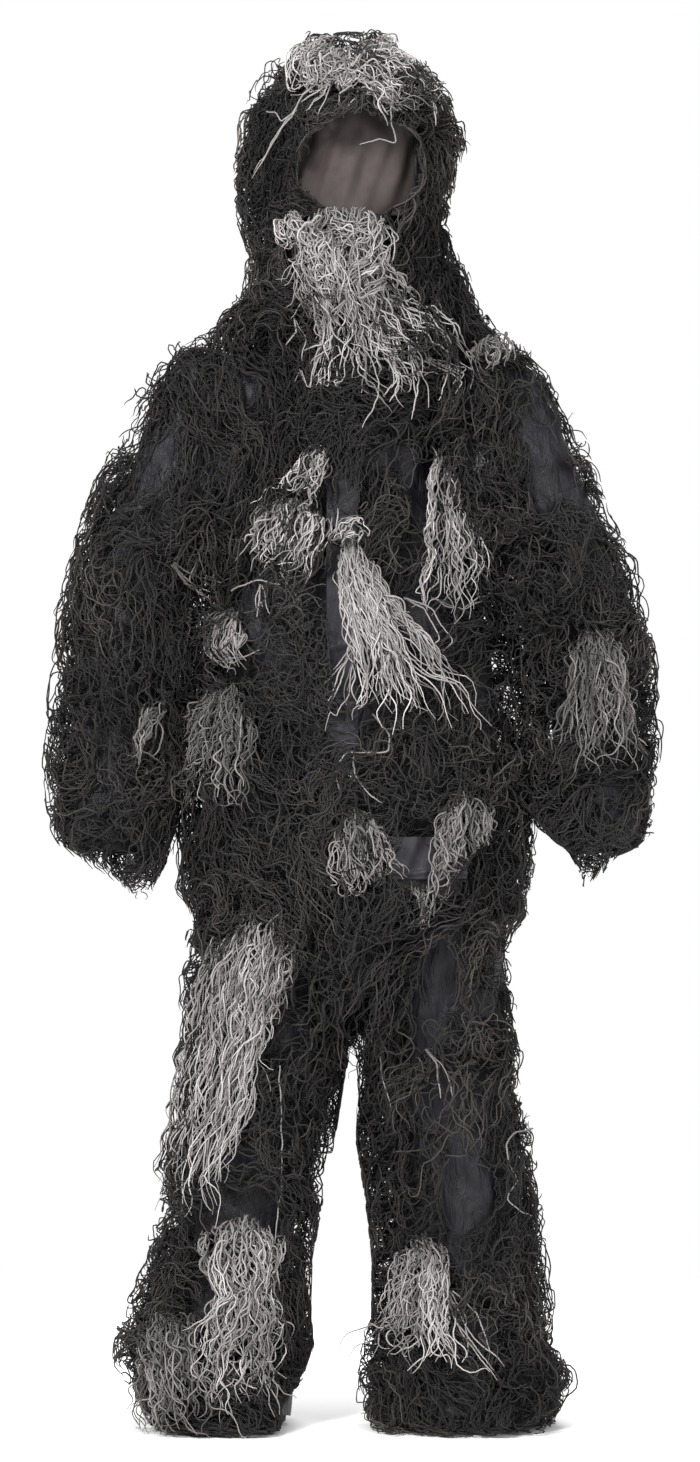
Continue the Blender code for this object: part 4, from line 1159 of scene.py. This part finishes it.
for side, sign in SIDES:
    # the shoulder from the collar out over the sleeve head, and the armpit
    rng = np.random.default_rng(150 + (side == "left"))
    a, t = bundle_places(shoulders, rng, 0.034, 0.040, 0.0, 1.0, math.radians(-75), math.radians(115))
    here = (t > 0.56) if side == "left" else (t < 0.44)
    part = bundles(rng, shoulders, a[here], t[here], 0.125, high=0.034, lift=0.55, fall=0.17)
    gusset, upper, lower, thigh, shin = (tubes[side] for tubes in (gussets, sleeves, forearms, thighs, shins))
    places = bundle_places(gusset, rng, 0.030, 0.036, 0.3, 0.9)
    armpit = bundles(rng, gusset, *places, 0.13, high=0.034, lift=0.8)
    dark_piece("yoke_yarn_strands_" + side, over_shoulder(side, sign), [part, armpit], seed=4)
    # the sleeve, with strands that reach across the armpit to the jacket
    inner = math.pi if side == "left" else 0.0
    part = bundles(rng, upper, *bundle_places(upper, rng, 0.042, 0.042, -0.55, 0.98), 0.15, [upper, lower])
    a, t = inner + rng.uniform(-0.9, 0.9, 26), rng.uniform(0.25, 0.98, 26)
    across = bundles(rng, upper, a, t, 0.15, low=0.012, high=0.085, lift=1.8, spread=0.7)
    dark_piece("sleeve_yarn_strands_" + side, "sleeve_" + side, [part, across], ["sleeve_yarn_" + side])
    # the forearm, with a fringe at the cuff
    part = bundles(rng, lower, *bundle_places(lower, rng, 0.046, 0.045, 0.02, 0.99), 0.15)
    a, t = inner + rng.uniform(-0.8, 0.8, 16), rng.uniform(0.0, 0.9, 16)
    across = bundles(rng, lower, a, t, 0.13, low=0.01, high=0.06, lift=1.5, spread=0.7)
    places = bundle_places(lower, rng, 0.034, 0.040, 0.62, 0.97)
    cuff = bundles(rng, lower, *places, 0.075, per=PER_FRINGE, spread=0.7)
    parts = [part, across, cuff]
    dark_piece("forearm_yarn_strands_" + side, "forearm_" + side, parts, ["forearm_yarn_" + side])
    # the trouser leg, with a fringe at the hem
    part = bundles(rng, thigh, *bundle_places(thigh, rng, 0.046, 0.047, 0.0, 0.98), 0.16, [thigh, shin])
    dark_piece("thigh_yarn_strands_" + side, "thigh_" + side, [part], ["thigh_yarn_" + side])
    part = bundles(rng, shin, *bundle_places(shin, rng, 0.046, 0.048, 0.02, 0.97), 0.145)
    places = bundle_places(shin, rng, 0.034, 0.042, 0.74, 0.97)
    hem = bundles(rng, shin, *places, 0.075, per=PER_FRINGE, spread=0.7)
    dark_piece("shin_yarn_strands_" + side, "shin_" + side, [part, hem], ["shin_yarn_" + side])


# ---------------------------------------------------------------- light tufts


def path(rows):
    """A table's rows in metres, and how far along it each row is."""
    rows = np.array(rows, float) / MM
    return rows, np.concatenate([[0], np.cumsum(np.hypot(np.diff(rows[:, 0]), np.diff(rows[:, 1])))])


def tuft(
    rng, rows, count, drift=0.5, lift=(0.008, 0.026), kink=0.0042, locks=None, level=None, bright=0.55,
    splay=0.5, buried=0.016,
):
    """Strands of one hank, seen from the front. rows are (x, z, half width) in mm, from its tie to its ends.
    They run in locks: neighbours stay together, locks cross and part, and the ends splay and hook."""
    rows, at = path(rows)
    count = round(count * 0.86)
    long = at[-1]
    locks = locks or max(3, count // 9)
    lock = rng.integers(0, locks, count)
    place = np.linspace(-1, 1, locks) + rng.normal(0, 0.3 / locks, locks)
    turn = rng.normal(0, drift, locks)
    beat = rng.uniform(3, 8, locks)
    beat_phase = rng.uniform(0, ROUND, locks)

    def of_lock(values):
        return values[lock][:, None]

    reach = rng.uniform(0.38, 1.0, (count, 1)) + 0.22 * of_lock(rng.random(locks))
    share = np.linspace(0, 1, LIGHT_POINTS) * reach
    start = 0.12 * of_lock(place) ** 2 + rng.uniform(0, 0.08, (count, 1)) + 0.06 * of_lock(rng.random(locks))
    s = (start + share * (1 - start)) * long
    x = np.interp(s, at, rows[:, 0])
    z = np.interp(s, at, rows[:, 1]) - np.maximum(s - long, 0)
    w = np.interp(s, at, rows[:, 2])
    ahead_x, ahead_z = np.gradient(x, axis=1), np.gradient(z, axis=1)
    size = np.maximum(np.hypot(ahead_x, ahead_z), 1e-6)
    u = of_lock(place) + of_lock(turn) * share + 0.10 * np.sin(share * of_lock(beat) + of_lock(beat_phase))
    own = rng.normal(0, 1.3 / locks, (count, 1))
    u = u + own * (0.7 + 1.5 * share)
    u = u + rng.normal(0, splay, (count, 1)) * np.clip(share - 0.55, 0, 1) ** 1.5 * 2
    u = np.clip(u, -1.35, 1.35)
    x = x + u * w * (ahead_z / size)
    z = z - u * w * (ahead_x / size)
    hook = np.clip((share - 0.72) / 0.28, 0, 1.3) ** 2
    x = x + hook * rng.normal(0, 0.011, (count, 1))
    z = z + hook * np.clip(rng.normal(0, 0.008, (count, 1)), 0, 1)
    over = (lift[0] + (lift[1] - lift[0]) * of_lock(rng.random(locks))) + rng.uniform(0, 0.003, (count, 1))
    over = over * np.interp(share, [0, 0.07, 0.18], [0.0, 0.5, 1.0])
    over = over - buried * np.interp(share, [0, 0.07, 0.14], [1.0, 0.4, 0.0])
    y = (smooth_depth(x, z) if level is None else np.full_like(x, level)) - over
    lines = curled(rng, np.stack([x, y, z], -1), kink * 1.3, 0.085, 0.0)
    lines = inside_box(smoothed(curled(rng, lines, kink * 0.8, 0.036, 0.0002)))
    tone = np.clip(bright - 0.04 + rng.normal(0, 0.17, locks)[lock] + rng.normal(0, 0.24, count), 0.0, 1)
    return lines, np.broadcast_to(FRONT, (count, 3)), tone


def smooth_depth(x, z):
    """The yarn's front, averaged a little over the way along each strand."""
    return smoothed(depth.at(x, z), 3)


def stray(rng, rows, count=1, bright=0.6, lift=0.012):
    """Single strands that follow a path seen from the front, in mm; more than one fan out."""
    rows, at = path(rows)
    s = np.linspace(0, at[-1], LIGHT_POINTS)
    x, z = (smoothed(np.interp(s, at, values)[None], 2) for values in rows.T)
    if count > 1:
        fan = np.linspace(0.2, 1.6, LIGHT_POINTS)
        x = x + rng.normal(0, 0.006, (count, 1)) * fan
        z = z + rng.normal(0, 0.006, (count, 1)) * fan
    y = smooth_depth(x, z) - rng.uniform(lift - 0.002, lift + 0.003, (count, 1))
    lines = inside_box(curled(rng, np.stack([x, y, z], -1), 0.0012, 0.045, 0.0002))
    return lines, np.broadcast_to(FRONT, (count, 3)), np.full(count, bright)


def light_piece(name, body, parts, replaced=(), look=light_yarn):
    rng = np.random.default_rng(sum(map(ord, name)))
    lines, out, tone = joined(parts)
    if body == "hood":
        lines = fitted(lines, body)
    obj = strand_object(name, lines, LIGHT_RADIUS * rng.uniform(0.8, 1.15, len(lines)), tone, out)
    finish_piece(obj, body, look, replaced)


rng = np.random.default_rng(300)
light_piece("tuft_chest_right_strands", "torso", [
    tuft(rng, [(-39, 1302, 5), (-55, 1262, 12), (-74, 1228, 27)], 70),
    tuft(rng, [
        (-74, 1232, 28), (-80, 1206, 36), (-83, 1172, 36), (-94, 1132, 32),
    ], 95, kink=0.003, buried=0.0),
    tuft(rng, [(-99, 1208, 13), (-123, 1187, 16), (-142, 1157, 16)], 18, drift=0.8),
    stray(rng, [(-106, 1216), (-130, 1179), (-157, 1148)]),
    stray(rng, [(-72, 1152), (-48, 1157), (-35, 1179), (-37, 1206)], 3),
    stray(rng, [(-91, 1145), (-94, 1123), (-88, 1107)], 2),
    stray(rng, [(-64, 1155), (-59, 1132), (-68, 1103)]),
    stray(rng, [(-162, 1108), (-139, 1119), (-123, 1121), (-96, 1115)]),
    stray(rng, [(-123, 1115), (-126, 1098), (-127, 1080)], 4),
], ["tuft_chest_right"])
light_piece("tuft_chest_left_strands", "torso", [
    tuft(rng, [(139, 1333, 20), (139, 1286, 25), (139, 1232, 28), (145, 1172, 33), (155, 1098, 43)], 120),
    stray(rng, [(104, 1152), (88, 1112), (94, 1078)], 3),
    stray(rng, [(171, 1139), (206, 1128), (222, 1112)], 2),
], ["tuft_chest_left"])
light_piece("tuft_centre_strands", "torso", [
    tuft(rng, [
        (-8, 1191, 15), (-5, 1172, 15), (0, 1139, 20), (16, 1085, 32), (40, 1025, 51), (59, 958, 67),
    ], 190, kink=0.003),
    tuft(rng, [(-9, 1168, 12), (-9, 1184, 13), (-3, 1189, 11), (8, 1181, 7)], 16, drift=0.6),
    stray(rng, [(3, 1112), (5, 1065), (-5, 1032), (-21, 978), (-35, 946)]),
    stray(rng, [(24, 1045), (-3, 1025), (-25, 1002)], 2),
    stray(rng, [(68, 1098), (102, 1085), (131, 1045), (115, 1032)], 2),
    stray(rng, [(-5, 1152), (11, 1098), (13, 1045), (-5, 1005), (-19, 965)], 2),
], ["tuft_centre"])
light_piece("tuft_forearm_left_strands", "forearm_left", [
    tuft(rng, [(316, 1082, 11), (318, 1032, 29), (320, 965, 32), (317, 891, 43)], 120),
], ["tuft_forearm_left"], dim_yarn)
light_piece("tuft_thigh_right_strands", OVER_RIGHT_KNEE, [
    tuft(rng, [
        (-104, 706, 44), (-128, 657, 47), (-153, 590, 43), (-169, 510, 37), (-187, 443, 37), (-203, 389, 35),
        (-219, 333, 27),
    ], 150),
    tuft(rng, [(-92, 697, 32), (-123, 617, 40), (-147, 550, 32), (-153, 483, 24)], 90),
    stray(rng, [(-98, 483), (-95, 403), (-95, 322), (-106, 242)]),
    stray(rng, [(-123, 644), (-92, 597), (-86, 550)], 3),
], ["tuft_thigh_right"])
light_piece("tuft_shin_right_strands", "shin_right", [
    tuft(rng, [(-145, 285, 40), (-147, 245, 48), (-145, 213, 37), (-143, 181, 27), (-146, 135, 40)], 130),
    tuft(rng, [
        (-145, 222, 35), (-143, 183, 27), (-145, 149, 43), (-150, 102, 48), (-153, 52, 45),
    ], 110, buried=0.0),
], ["tuft_shin_right"])
light_piece("tuft_foot_right_strands", "shin_right", [
    tuft(rng, [(-252, 165, 27), (-244, 115, 37), (-233, 68, 45), (-219, 15, 51)], 150, lift=(0.004, 0.02)),
], look=dim_yarn)
light_piece("tuft_shin_left_strands", "shin_left", [
    tuft(rng, [(88, 261, 16), (92, 229, 29), (83, 175, 37), (72, 102, 51)], 140),
    stray(rng, [(115, 202), (135, 149), (169, 102), (191, 79)], 3),
    stray(rng, [(128, 189), (155, 162), (166, 115)], 2),
], ["tuft_shin_left"])
light_piece("hood_tuft_strands", "hood", [
    tuft(rng, [
        (-19, 1826, 21), (-32, 1810, 35), (-48, 1789, 32), (-43, 1770, 24),
    ], 90, drift=0.9, kink=0.005, lift=(0.016, 0.040), locks=14),
    tuft(rng, [
        (-12, 1818, 29), (-19, 1797, 35), (-8, 1770, 27),
    ], 60, drift=0.9, kink=0.005, lift=(0.020, 0.042), locks=10),
    tuft(rng, [
        (5, 1829, 13), (35, 1813, 27), (64, 1794, 35), (88, 1773, 29), (104, 1754, 16),
    ], 120, drift=0.9, kink=0.005, lift=(0.016, 0.042), locks=14),
    tuft(rng, [
        (-3, 1797, 19), (32, 1781, 29), (67, 1762, 27),
    ], 80, drift=0.9, kink=0.005, lift=(0.022, 0.044), locks=12),
    stray(rng, [
        (-37, 1781), (-66, 1761), (-75, 1743), (-94, 1721), (-110, 1694), (-128, 1671),
    ], 2, lift=0.034),
    stray(rng, [(-115, 1738), (-104, 1735), (-94, 1722), (-75, 1738)], lift=0.034),
    stray(rng, [(-3, 1767), (-19, 1757), (-19, 1741), (-8, 1737), (5, 1751)], lift=0.04),
    stray(rng, [(52, 1762), (48, 1730), (56, 1694), (35, 1698), (8, 1691)], lift=0.04),
    stray(rng, [(75, 1767), (99, 1757), (99, 1734)], 3, lift=0.036),
    stray(rng, [(24, 1767), (41, 1743), (54, 1730)], 3, lift=0.036),
    stray(rng, [(-32, 1773), (-43, 1757), (-59, 1746)], 4, lift=0.036),
], ["tuft_hood"])
light_piece("face_flap_yarn_strands", "face_flap", [
    tuft(rng, [
        (-21, 1615, 59), (-21, 1591, 59), (-13, 1543, 51), (0, 1500, 45), (21, 1453, 54), (43, 1396, 75),
    ], 170, lift=(0.010, 0.030), buried=0.004, locks=22),
    tuft(rng, [
        (-3, 1614, 48), (-8, 1572, 48), (-24, 1511, 37),
    ], 70, drift=1.1, kink=0.005, lift=(0.014, 0.030), buried=0.0, locks=14),
    tuft(rng, [
        (-51, 1594, 35), (-29, 1567, 37), (3, 1532, 24),
    ], 50, drift=1.0, kink=0.005, lift=(0.014, 0.030), buried=0.0, locks=10),
    tuft(rng, [
        (11, 1513, 21), (40, 1466, 40), (75, 1426, 56), (110, 1382, 54),
    ], 60, lift=(0.022, 0.034), buried=0.0, locks=12),
    tuft(rng, [
        (45, 1537, 15), (19, 1519, 16), (-8, 1500, 13),
    ], 44, drift=0.2, kink=0.0016, lift=(0.028, 0.036), buried=0.0, splay=0.1),
    tuft(rng, [
        (-83, 1606, 9), (-80, 1580, 12), (-74, 1556, 8),
    ], 36, drift=0.8, kink=0.004, lift=(0.014, 0.026), buried=0.0),
    tuft(rng, [(-72, 1572, 5), (-72, 1513, 5), (-75, 1460, 9)], 9, lift=(0.012, 0.022), buried=0.0),
    stray(rng, [(-75, 1500), (-64, 1484), (-35, 1476)], 3, lift=0.016),
    stray(rng, [(-78, 1466), (-72, 1446), (-83, 1426)], 2, lift=0.016),
    stray(rng, [(8, 1440), (32, 1386), (32, 1359), (11, 1319)], lift=0.034),
    stray(rng, [(51, 1406), (54, 1373), (41, 1355)], 3, lift=0.034),
    stray(rng, [(48, 1493), (102, 1476), (131, 1453), (149, 1406)], 3, lift=0.034),
    stray(rng, [(-12, 1487), (-39, 1460), (-39, 1430), (-64, 1420)], 3, lift=0.030),
    stray(rng, [(75, 1420), (94, 1373), (91, 1346)], 3, lift=0.034),
    stray(rng, [(95, 1413), (145, 1386), (135, 1373)], 4, lift=0.034),
], ["face_flap_yarn"])
light_piece("small_tufts_torso_strands", "torso", [
    tuft(rng, [
        (-153, 1082, 7), (-169, 1061, 21), (-177, 1038, 17), (-158, 1008, 7),
    ], 45, kink=0.0015, bright=0.9),
    tuft(rng, [(-158, 986, 16), (-174, 938, 35), (-193, 887, 40), (-209, 836, 43)], 110),
    tuft(rng, [(-246, 975, 11), (-252, 938, 17), (-260, 887, 19)], 36, drift=0.8),
    tuft(rng, [(-3, 823, 13), (3, 791, 24), (16, 753, 37), (27, 716, 35)], 110, drift=0.6, bright=1.0),
    tuft(rng, [(153, 852, 24), (150, 804, 32), (145, 751, 32), (145, 710, 27)], 110, bright=0.8),
    tuft(rng, [(78, 732, 19), (75, 697, 24), (72, 657, 19)], 50, drift=0.6, bright=0.9),
    tuft(rng, [(177, 1449, 13), (185, 1425, 20), (182, 1401, 16)], 26, drift=0.9, level=-0.07),
    stray(rng, [(-240, 1145), (-219, 1125), (-190, 1115)], 4, bright=0.8),
    stray(rng, [(-206, 1152), (-211, 1125), (-193, 1109)], 3, bright=0.8),
    stray(rng, [(24, 945), (48, 918), (45, 895), (-12, 895), (-24, 871), (-19, 844)], bright=1.0),
    stray(rng, [(1, 891), (-1, 864), (35, 828)], bright=1.0),
    stray(rng, [(102, 1098), (142, 1085), (182, 1112), (202, 1085)], 2, bright=1.0),
], look=dim_yarn)
light_piece("small_tufts_thigh_left_strands", "thigh_left", [
    stray(rng, [(35, 492), (39, 463), (48, 425)], bright=1.0),
    stray(rng, [(95, 503), (112, 480), (122, 429)], 2, bright=1.0),
    stray(rng, [(35, 577), (27, 523), (35, 492)], 2, bright=0.6),
], look=dim_yarn)
light_piece("small_tufts_shin_left_strands", "shin_left", [
    stray(rng, [
        (238, 393), (213, 392), (199, 376), (209, 343), (218, 329), (201, 309), (222, 285), (238, 280),
    ], bright=1.0),
], look=dim_yarn)


# light hanks on the back, tied on as on the front


def hank(rng, tube, a, t, wide, high, count, length):
    """One hank on a tube, round a place on it; wide and high say how far its ties spread."""
    n = count // 6
    a = a + rng.normal(0, wide, n)
    t = t + rng.normal(0, high, n)
    lines, out, tone = bundles(
        rng, tube, a, t, length, per=6, low=0.024, high=0.048, lift=0.4, spread=0.4, fall=0.30, swirl=0.12,
        small=0.16, part=False,
    )
    return lines, out, np.clip(tone + 0.10 + rng.normal(0, 0.12, len(tone)), 0, 1)


BACK = -QUARTER
rng = np.random.default_rng(400)
for place, body, hanks in (
    ("torso", "torso", [
        (torso, BACK - 0.45, 0.86, 0.10, 0.03, 90, 0.17), (torso, BACK + 0.30, 0.70, 0.12, 0.03, 110, 0.20),
        (torso, BACK - 0.15, 0.46, 0.10, 0.02, 80, 0.15), (torso, BACK + 0.62, 0.40, 0.10, 0.03, 70, 0.16),
        (torso, BACK - 0.62, 0.22, 0.10, 0.02, 90, 0.15),
    ]),
    ("hood", "hood", [(hood, BACK + 0.25, 0.80, 0.16, 0.05, 90, 0.12)]),
    ("thigh_left", "thigh_left", [(thighs["left"], BACK + 0.1, 0.40, 0.16, 0.05, 90, 0.18)]),
    ("shin_right", "shin_right", [(shins["right"], BACK - 0.2, 0.45, 0.16, 0.05, 100, 0.18)]),
    ("shin_left", "shin_left", [(shins["left"], BACK + 0.2, 0.70, 0.16, 0.04, 70, 0.13)]),
):
    lines, out, tone = joined([hank(rng, *values) for values in hanks])
    light_piece(f"back_hanks_{place}_strands", body, [(fitted(lines, body.split("_")[0]), out, tone)])


# ---------------------------------------------------------------- trim that keeps its CAD shape

for name in nodes:
    if name.startswith("snap") or name in ("zip_slider", "zip_pull"):
        look = metal
    elif name.startswith("zip_tape"):
        look = tape
    elif "elastic" in name or name in ("waistband", "neck_band"):
        look = elastic_cloth
    else:
        look = dark_cloth
    nodes[name].data.materials.clear()
    nodes[name].data.materials.append(look)


# ---------------------------------------------------------------- camera, floor and light


def floor():
    """A pale floor that turns to the white of the surround away from the suit."""
    size = 9.0
    verts = [(-size, -size, 0), (size, -size, 0), (size, size, 0), (-size, size, 0)]
    obj = mesh_object("studio_floor", verts, [(0, 1, 2, 3)], smooth=False)
    made, tree, shader = new_material("studio_floor_paint")
    place = add_node(tree, "ShaderNodeTexCoord")
    far = add_node(tree, "ShaderNodeVectorMath", operation="LENGTH")
    tree.links.new(place.outputs["Object"], far.inputs[0])
    away = add_node(
        tree, "ShaderNodeMapRange", in_From_Min=0.55, in_From_Max=2.0, interpolation_type="SMOOTHSTEP",
    )
    tree.links.new(far.outputs["Value"], away.inputs["Value"])
    paint = ramp(tree, away.outputs["Result"], [(0.0, (0.9, 0.9, 0.9)), (1.0, (0.0, 0.0, 0.0))])
    tree.links.new(paint, shader.inputs["Base Color"])
    shader.inputs["Roughness"].default_value = 1.0
    shader.inputs["Specular IOR Level"].default_value = 0.0
    shader.inputs["Emission Color"].default_value = (1, 1, 1, 1)
    tree.links.new(away.outputs["Result"], shader.inputs["Emission Strength"])
    obj.data.materials.append(made)


def lamp(name, place, target, size, power):
    light = bpy.data.lights.new(name, "AREA")
    light.shape = "DISK"
    light.size, light.energy = size, power
    obj = bpy.data.objects.new(name, light)
    obj.location = place
    obj.rotation_euler = (Vector(target) - Vector(place)).to_track_quat("-Z", "Y").to_euler()
    bpy.context.scene.collection.objects.link(obj)


floor()
lamp("key", (-1.9, -3.6, 3.6), (0, 0, 1.0), 1.3, 330)
lamp("fill", (2.8, -3.6, 1.7), (0, 0, 0.9), 2.0, 110)
lamp("back", (0.6, 3.6, 3.2), (0, 0, 1.0), 2.0, 240)

# a white surround behind the suit, which lights it more softly than it looks
world = bpy.data.worlds.new("studio")
world.use_nodes = True
tree = world.node_tree
tree.nodes["Background"].inputs["Color"].default_value = (1, 1, 1, 1)
seen = add_node(tree, "ShaderNodeLightPath")
strength = add_node(tree, "ShaderNodeMapRange", in_To_Min=0.55, in_To_Max=1.0)
tree.links.new(seen.outputs["Is Camera Ray"], strength.inputs["Value"])
tree.links.new(strength.outputs["Result"], tree.nodes["Background"].inputs["Strength"])
bpy.context.scene.world = world

DISTANCE = 7.0
SENSOR = 36.0
VIEW_HEIGHT = 1.956
camera = bpy.data.cameras.new("camera")
camera.lens = SENSOR * DISTANCE / VIEW_HEIGHT
camera.clip_end = 60
eye = bpy.data.objects.new("camera", camera)
eye.location = (-0.005, -DISTANCE, 0.923)
eye.rotation_euler = (QUARTER, 0, 0)
bpy.context.scene.collection.objects.link(eye)
bpy.context.scene.camera = eye
bpy.context.scene.view_settings.view_transform = "Standard"
